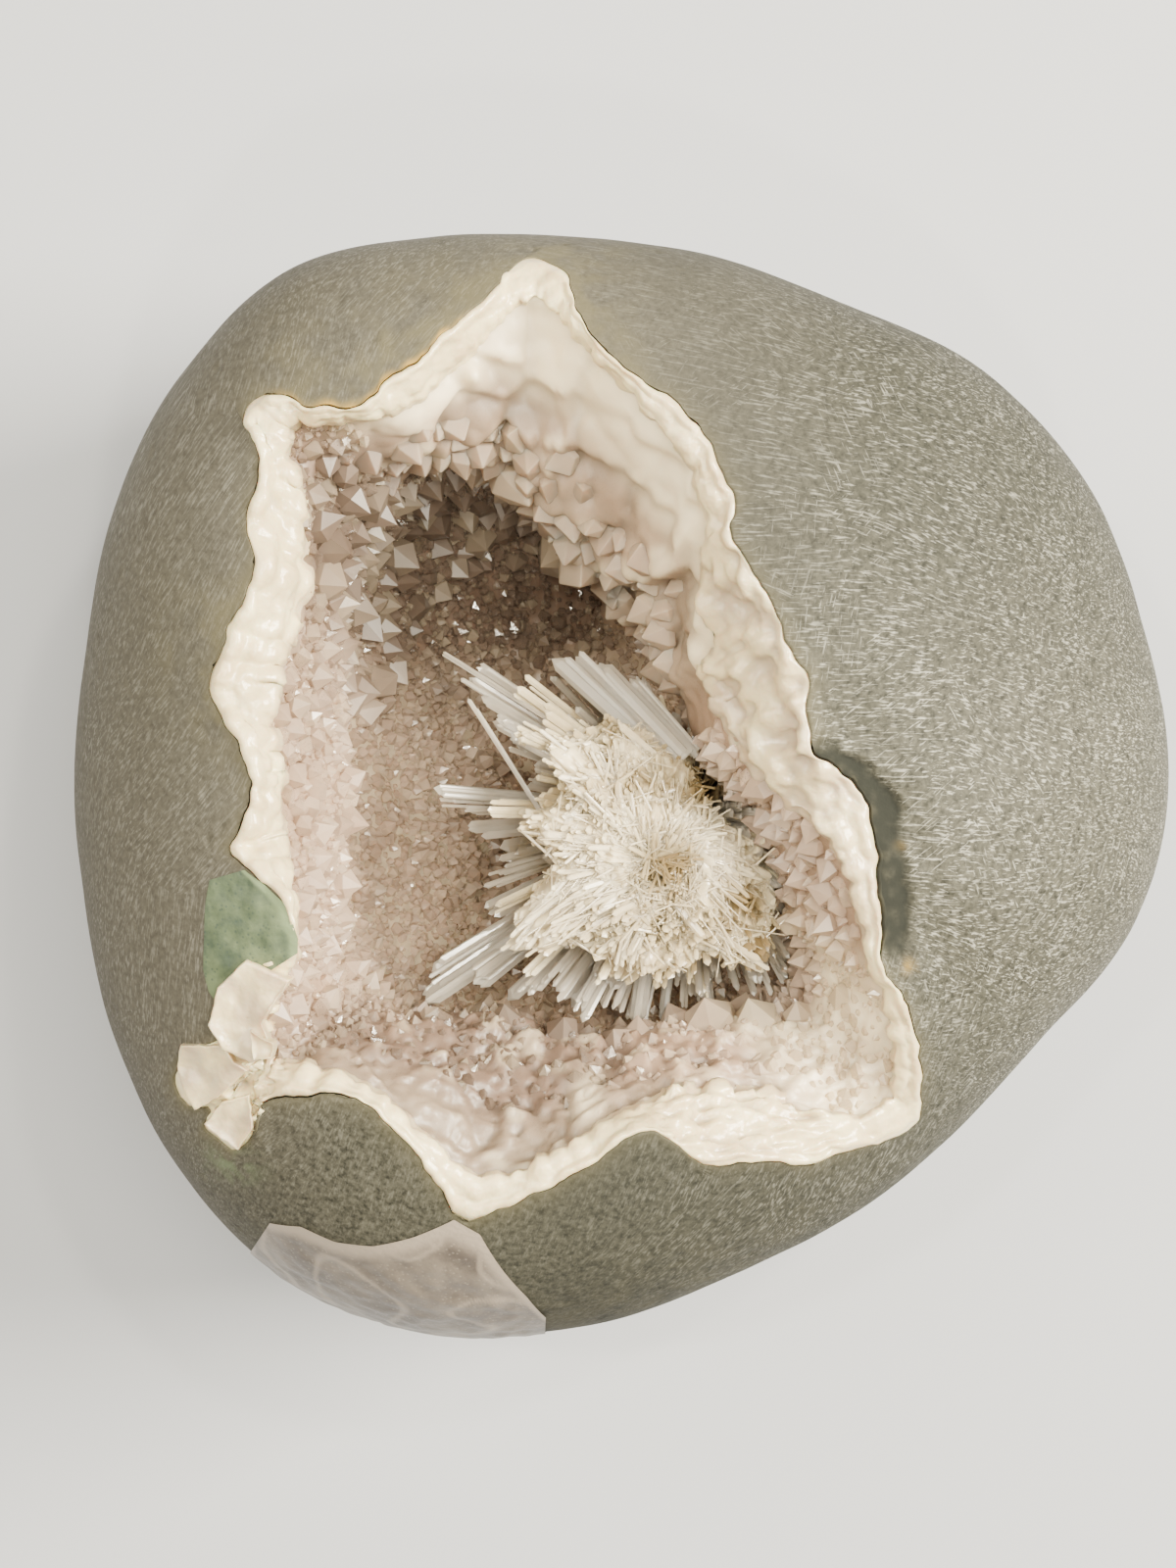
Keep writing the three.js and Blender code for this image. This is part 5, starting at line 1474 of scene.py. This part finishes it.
# blades at the upper left and the lower left that pass beside the root: start, end, half width, flatness
LONG_BLADES = [
    [(2.9, 1.2, 40.0), (-4.9, 8.4, 38.8), 0.70, 0.35], [(3.3, 1.8, 40.3), (-3.4, 8.5, 38.2), 0.5, 0.4],
    [(3.6, 2.1, 40.3), (-1.9, 8.0, 38.2), 1.0, 0.35], [(4.4, 2.2, 40.0), (0.2, 7.0, 38.2), 0.5, 0.5],
    [(4.6, 1.9, 40.0), (1.4, 6.0, 38.4), 0.3, 0.6], [(-1.5, 2.0, 41.0), (-12.2, 8.8, 38.5), 0.16, 0.7],
    [(-1.6, 1.2, 41.2), (-11.0, 7.0, 39.0), 0.22, 0.7], [(-1.8, 1.0, 41.5), (-9.6, 5.8, 39.5), 0.45, 0.4],
    [(-1.8, 0.4, 41.8), (-8.8, 4.2, 40.5), 0.6, 0.35], [(-2.2, 0.2, 42.0), (-7.6, 3.2, 41.2), 0.4, 0.5],
    [(-5.4, -2.2, 41.8), (-10.4, 5.6, 41.5), 0.22, 0.8],
    [(-3.0, -7.6, 38.0), (-13.6, -14.7, 36.8), 0.85, 0.35],
    [(-2.0, -9.0, 37.5), (-8.0, -14.6, 36.0), 0.7, 0.4], [(0.0, -9.5, 37.0), (-3.6, -15.2, 35.5), 0.8, 0.4],
    [(1.6, -9.5, 37.0), (0.6, -16.2, 35.5), 0.7, 0.45],
]
print(len(BLADES) + len(LONG_BLADES), "blades")

# %% Needle sheaves
# both ends of a needle, its half width, and how flat it is (1 is round)
Needle = namedtuple("Needle", "start end radius flatness")


def add_bundle(needles, random, start, end, count, wide, thickness, flatness):
    """Nearly parallel needles side by side, ending at about the same place."""
    start = np.asarray(start, float)
    end = np.asarray(end, float)
    length = np.linalg.norm(end - start)
    way = (end - start) / length
    across = unit(np.cross(way, np.array([0, 0, 1.0]) + 0.4 * random.normal(0, 1, 3)))
    other = np.cross(way, across)
    for _ in range(count):
        sideways = across * random.uniform(-wide, wide) + other * random.normal(0, 0.3 * wide)
        tip = end + sideways - way * length * random.uniform(0, 0.12)
        radius = thickness * random.uniform(0.5, 1.6)
        needles.append(Needle(start + 0.7 * sideways, tip, radius, flatness))


def add_sheaf(needles, random, angle, climb, share, count, wide, thickness, flatness):
    """Bundle that starts near the root."""
    tip = spray_point(angle, climb, share)
    add_bundle(needles, random, SPRAY_ROOT + 0.35 * (tip - SPRAY_ROOT), tip, count, wide, thickness, flatness)


# %% Silk, felt and strands
def add_silk(needles, random, count):
    """Thin fibres that lie on the middle of the spray and fan out from its top."""
    angles = random.uniform(0, 360, count)
    climbs = random.uniform(0.3, 0.84, count)
    for angle, climb in zip(angles, climbs):
        fall = random.uniform(0.06, 0.26)
        swirl = wavy(spray_point(angle, climb, 1.0), 4.0, 71)
        bend = 60 * climb * swirl + random.normal(0, 8)
        low = max(0.02, climb - fall)
        start = spray_point(angle, climb, core_share(angle, climb) - 0.02)
        end = spray_point(angle + bend, low, core_share(angle, low) + random.uniform(0.0, 0.09))
        if stain_of(0.5 * (start + end)) > random.uniform(0.2, 0.7):
            continue
        if wavy(0.5 * (start + end), 3.0, 70) < random.uniform(-0.3, 0.45):
            continue
        needles.append(Needle(start, end, 0.04 + 0.3 * random.uniform(0, 1) ** 4, 0.35))


def add_felt(needles, random, count):
    """Short needles matted in clumps over the middle of the spray, leaning every way."""
    angles = random.uniform(0, 360, count)
    climbs = random.uniform(0.35, 0.995, count)
    roots = spray_point(angles, climbs, core_share(angles, climbs))
    thick = wavy(roots, 2.2, 65) + 0.6 * wavy(roots, 0.9, 66)
    for on_core, climb, clump in zip(roots, climbs, thick):
        if clump < random.uniform(-0.35, 0.35) or random.uniform(0, 1) > 0.5 + np.cos(0.5 * np.pi * climb):
            continue
        way = unit(unit(on_core - SPRAY_ROOT) + (0.1 + 0.7 * climb) * random.normal(0, 1, 3))
        reach = random.uniform(0.05, 0.5) * (1.3 - 0.7 * climb)
        radius = 0.05 + 0.11 * random.uniform(0, 1) ** 3
        needles.append(Needle(on_core - 2.0 * way, on_core + reach * way, radius, 0.6))


def add_strands(needles, random, count):
    """Long flat strands that lie side by side on the lower part of the spray."""
    for _ in range(count):
        angle = random.uniform(80, 340)
        climb = random.uniform(0.02, 0.75)
        reach = core_share(angle, climb) + random.uniform(-0.04, 0.16) * (1 - 0.6 * climb)
        tip = spray_point(angle, climb, min(0.97, reach))
        start = SPRAY_ROOT + 0.35 * (tip - SPRAY_ROOT) + random.normal(0, 0.4, 3)
        needles.append(Needle(start, tip, random.uniform(0.10, 0.40), 0.4))


# %% Needles at the border
def add_silky_sheaves(needles, random, count):
    """White sheaves that rise from the middle of the spray at the left and in front."""
    for _ in range(count):
        climb = random.uniform(0.15, 0.9)
        angle = random.uniform(90, 340)
        share = random.uniform(0.86, 0.98)
        wide = random.uniform(0.3, 0.8)
        add_sheaf(needles, random, angle, climb, share, 4, wide, 0.22, 0.4)


def add_clear_sheaves(needles, random, count):
    """Clear sheaves all the way round the border."""
    for k in range(count):
        angle = 360.0 * (k + random.uniform(0, 1)) / count
        share = random.uniform(0.72, 0.96)
        climb = random.uniform(0, 0.2)
        thickness = random.uniform(0.12, 0.35)
        add_sheaf(needles, random, angle, climb, share, 4, 0.6, thickness, 0.45)


def add_front_sheaves(needles, random, count):
    """Thin clear sheaves in front, where the spray is loose."""
    for _ in range(count):
        angle = random.uniform(266, 328)
        share = random.uniform(0.8, 1.0)
        climb = random.uniform(0, 0.3)
        thickness = random.uniform(0.1, 0.2)
        add_sheaf(needles, random, angle, climb, share, 3, 0.4, thickness, 0.6)


def add_blades(needles, random):
    """Flat blades of both tables, each with thin needles beside it."""
    for angle, climb, share, radius, flatness in BLADES:
        add_sheaf(needles, random, float(angle), climb, share, 6, 0.8 * radius, 0.34 * radius, flatness)
    for start, end, radius, flatness in LONG_BLADES:
        needles.append(Needle(start, end, 0.75 * radius, flatness))
        add_bundle(needles, random, start, end, 3, radius, 0.3 * radius, flatness)


# %% Needle pieces
def build_needles(name, needles, random, material):
    """One piece from many needles; one whose middle is stained is stained all along."""
    starts = np.array([needle.start for needle in needles])
    ends = np.array([needle.end for needle in needles])
    radii = np.array([needle.radius for needle in needles])
    squeeze = np.array([needle.flatness for needle in needles])
    lengths = np.linalg.norm(ends - starts, axis=1)
    turns = random.uniform(0, math.tau, len(needles))
    points, faces = crystal_mesh(starts, unit(ends - starts), radii, lengths, turns, squeeze)
    piece = new_piece(name, points, faces, False)
    of_middle = np.repeat(stain_of(0.5 * (starts + ends)), 2 * SIDES + 1)
    store(piece, "stain", np.maximum(stain_of(points.reshape(-1, 3)), of_middle))
    belongs(piece, "scolecite_spray", material)
    print(len(needles), "needles in", name)


SPRAY_SEED = 21


def build_spray():
    """Both pieces of needles; all of them draw their chances from one seed, in this order."""
    random = np.random.default_rng(SPRAY_SEED)
    silky = []
    glassy = []
    add_silk(silky, random, 3600)
    add_felt(silky, random, 5200)
    add_strands(silky, random, 900)
    add_silky_sheaves(silky, random, 90)
    for angle, _, _ in NEEDLE_REACH:
        add_sheaf(glassy, random, angle, 0.02, 1.0, 5, 0.7, 0.16, 0.5)
    add_clear_sheaves(glassy, random, 52)
    add_front_sheaves(glassy, random, 26)
    add_blades(glassy, random)
    build_needles("silky_needles", silky, random, SILKY_SCOLECITE)
    build_needles("clear_needles", glassy, random, CLEAR_SCOLECITE)


build_spray()

# %% [markdown]
# ## The green patch and the pinkish vein
#
# Both are minerals let into the stone and ground flush with it. They could be painted on the stone, but they
# are bodies of their own and their edges are sharp. So each is a patch of the dome's own surface, raised by
# a hair so that it hides the stone under it, and cut to its outline. The patch has a pale side. The vein has
# a narrow pale border, and thin whitish lines run through it where a slow noise is near zero.

# %% Outlines of the patch and the vein
# green patch: angle, inner radius, outer radius
PATCH = [
    [196.0, 21.6, 24.0], [199.5, 20.6, 24.8], [203.5, 19.9, 25.6], [207.5, 19.9, 26.6],
    [210.5, 20.1, 27.0], [212.6, 20.6, 26.9],
]
# vein: angle, radius where it starts on the top, share of the side below the widest level that it covers
VEIN = [
    [235.5, 35.4, 0.0], [238.5, 34.2, 0.12], [242.5, 33.9, 0.24], [246.5, 32.9, 0.34],
    [250.5, 31.2, 0.42], [254.5, 29.2, 0.46], [258.0, 29.8, 0.44], [261.5, 32.2, 0.38],
    [264.5, 34.2, 0.26], [266.6, 36.0, 0.1],
]
PATCH_ROWS = 60
PATCH_COLUMNS = 40
VEIN_ROWS = 120
VEIN_TOP_COLUMNS = 70
VEIN_SIDE_COLUMNS = 50
INLAY_LIFT = 0.14


def spread_rows(rows, count):
    """Evenly spaced rows through an open table."""
    table = np.array(rows, float)
    places = np.linspace(0, len(table) - 1, count)
    return np.column_stack([np.interp(places, np.arange(len(table)), column) for column in table.T])


def patch_grid():
    """Points of the patch on the dome."""
    rows = spread_rows(PATCH, PATCH_ROWS)
    share = np.linspace(0, 1, PATCH_COLUMNS)
    angle = np.repeat(rows[:, 0:1], PATCH_COLUMNS, axis=1)
    radius = rows[:, 1:2] + (rows[:, 2:3] - rows[:, 1:2]) * share[None, :]
    points = polar(angle, radius, 0.0)
    points[..., 2] = top_height(points[..., 0], points[..., 1])
    return points


def vein_grid():
    """Points of the vein on the dome and down the side of the stone."""
    rows = spread_rows(VEIN, VEIN_ROWS)
    share = np.linspace(0, 1, VEIN_TOP_COLUMNS)
    angle = rows[:, 0:1]
    outline = around(NODULE, 1, angle)
    upper_share = 1 - (1 - share[None, :]) ** 2
    radius = rows[:, 1:2] + (outline - rows[:, 1:2]) * upper_share
    top = polar(np.repeat(angle, VEIN_TOP_COLUMNS, axis=1), radius, 0.0)
    top[..., 2] = top_height(top[..., 0], top[..., 1])
    down = np.linspace(0.02, 1, VEIN_SIDE_COLUMNS)[None, :] * (rows[:, 2:3] + 0.06)
    side = underside(np.repeat(angle, VEIN_SIDE_COLUMNS, axis=1), down)
    return np.concatenate([top, side], axis=1)


patch_points = patch_grid()
vein_points = vein_grid()
print("the vein reaches down to", round(float(vein_points[..., 2].min()), 1), "mm")

# %% Inlay meshes
def build_inlay(name, grid, lift, seed):
    """Piece from a grid of points on the stone's surface, raised by a hair."""
    middle = np.array([AXIS[0], AXIS[1], WIDEST_LEVEL])
    outward = unit(grid - middle)
    rows, columns = grid.shape[:2]
    from_side = np.minimum(np.arange(rows), np.arange(rows)[::-1])[:, None] / rows
    from_end = np.minimum(np.arange(columns), np.arange(columns)[::-1])[None, :] / columns
    inside = step_up(np.minimum(from_side, from_end), 0.0, 0.12)
    swells = 0.1 * wavy(grid, 2.4, seed) + 0.12 * wavy(grid, 1.1, seed + 1)
    relief = stone_waves(grid) + lift + inside * swells
    grid = grid + outward * relief[..., None]
    faces = []
    for r in range(rows - 1):
        for c in range(columns - 1):
            a = r * columns + c
            faces.append((a, a + 1, a + columns + 1, a + columns))
    return new_piece(name, grid, faces, True)


def vein_lines(points):
    """Thin whitish lines that run through the vein."""
    return 0.65 * (1 - step_up(np.abs(wavy(points, 5.0, 43)), 0.02, 0.1))


green_patch = build_inlay("green_patch", patch_points, INLAY_LIFT, 41)
across_patch = np.linspace(0, 1, PATCH_COLUMNS)[None, :] * np.ones((PATCH_ROWS, 1))
store(green_patch, "edge", 0.8 * (1 - step_up(across_patch, 0.05, 0.14)))
vein = build_inlay("pinkish_vein", vein_points, INLAY_LIFT, 42)
across_vein = np.linspace(0, 1, VEIN_TOP_COLUMNS + VEIN_SIDE_COLUMNS)[None, :] * np.ones((VEIN_ROWS, 1))
vein_border = 0.9 * (1 - step_up(across_vein, 0.015, 0.06))
store(vein, "edge", np.maximum(vein_border, vein_lines(vein_points)))

# %% Inlay finish
def make_inlay_material(name, size, dark, light, speck, roughness):
    """Cloudy and speckled mineral; its edge is lighter than its light colour."""
    material, tree, shader = new_material(name, Roughness=roughness)
    colour = cloudy(tree, size, 4.2, dark, light)
    grain = use_group(tree, GRAIN, Size=1400.0, Fine_Size=2800.0)
    few = map_range(tree, 0.3, 0.12, 0.0, 0.7)
    wire(tree, (grain.outputs["Specks"], few.inputs["Value"]))
    colour = tint(tree, few.outputs["Result"], colour, speck)
    colour = tint(tree, mask(tree, "edge"), colour, tuple(min(0.8, 1.8 * value) for value in light))
    wire(tree, (colour, shader.inputs["Base Color"]))
    roughen(tree, shader, grain.outputs["Height"], 0.5, 0.08)
    return material


GREEN = make_inlay_material(
    "celadonite", 520.0, (0.044, 0.066, 0.039), (0.107, 0.14, 0.07), (0.03, 0.05, 0.04), 0.6,
)
PINK = make_inlay_material(
    "vein_chalcedony", 300.0, (0.088, 0.071, 0.060), (0.178, 0.147, 0.118), (0.24, 0.205, 0.17), 0.4,
)
belongs(green_patch, "celadonite_patch", GREEN)
belongs(vein, "chalcedony_vein", PINK)

# %% [markdown]
# ## Floor, light and camera
#
# A plain pale floor and soft light from large lamps show the stone without hiding its shapes. The camera
# looks straight down, as the photograph was taken, from about twenty centimetres above the hollow.

# %% Floor and lights
LAMP_COLOUR = (1.0, 0.94, 0.78)


def make_floor():
    half = 1500.0
    corners = [(-half, -half, 0), (half, -half, 0), (half, half, 0), (-half, half, 0)]
    piece = new_piece("floor", corners, [(0, 1, 2, 3)], False)
    material, _, shader = new_material("pale_floor", Roughness=0.8)
    shader.inputs["Base Color"].default_value = rgba(0.405, 0.415, 0.45)
    piece.data.materials.append(material)


def add_light(name, place, target, size, power):
    """Square lamp that looks at a place; all lengths in metres, power in watts."""
    lamp = bpy.data.lights.new(name, "AREA")
    lamp.size = size
    lamp.energy = power
    lamp.color = LAMP_COLOUR
    lamp_object = bpy.data.objects.new(name, lamp)
    lamp_object.location = place
    aim = Vector(target) - Vector(place)
    lamp_object.rotation_euler = aim.to_track_quat("-Z", "Y").to_euler()
    bpy.context.scene.collection.objects.link(lamp_object)


make_floor()
add_light("key softbox", (0.37, 0.08, 0.32), (0, 0, 0.04), 0.20, 11.0)
add_light("fill softbox", (-0.32, 0.12, 0.40), (0, 0, 0.04), 0.35, 2.8)
add_light("lamp beside the camera", (0.06, 0.02, 0.42), (0, 0, 0.03), 0.12, 1.6)
for k, place in enumerate([(0.10, 0.12, 0.40), (-0.10, 0.06, 0.42), (0.02, -0.15, 0.40)]):
    add_light("small lamp " + str(k + 1), place, (0, 0, 0.03), 0.018, 0.6)
world = bpy.data.worlds.new("soft room")
bpy.context.scene.world = world
world.use_nodes = True
world.node_tree.nodes["Background"].inputs["Color"].default_value = rgba(1.0, 0.96, 0.86)
world.node_tree.nodes["Background"].inputs["Strength"].default_value = 0.15

# %% Camera
# height of the camera over the ground
CAMERA_HEIGHT = 212.0
# the photograph is 1600 pixels high and has 14 pixels to a millimetre at the stone's widest level
VIEW_HEIGHT = 1600 / 14.0
# middle of the photograph along x, measured like the stone
VIEW_MIDDLE = -2.536
SENSOR_WIDTH = 36.0
camera_data = bpy.data.cameras.new("camera")
camera_data.sensor_width = SENSOR_WIDTH
camera_data.lens = SENSOR_WIDTH * (CAMERA_HEIGHT - WIDEST_LEVEL) / VIEW_HEIGHT
camera_data.clip_start = 0.001
camera = bpy.data.objects.new("camera", camera_data)
camera.location = ((VIEW_MIDDLE + CENTRING[0]) * MM, CENTRING[1] * MM, CAMERA_HEIGHT * MM)
bpy.context.scene.collection.objects.link(camera)
bpy.context.scene.camera = camera
print("lens", round(camera_data.lens, 1), "mm")
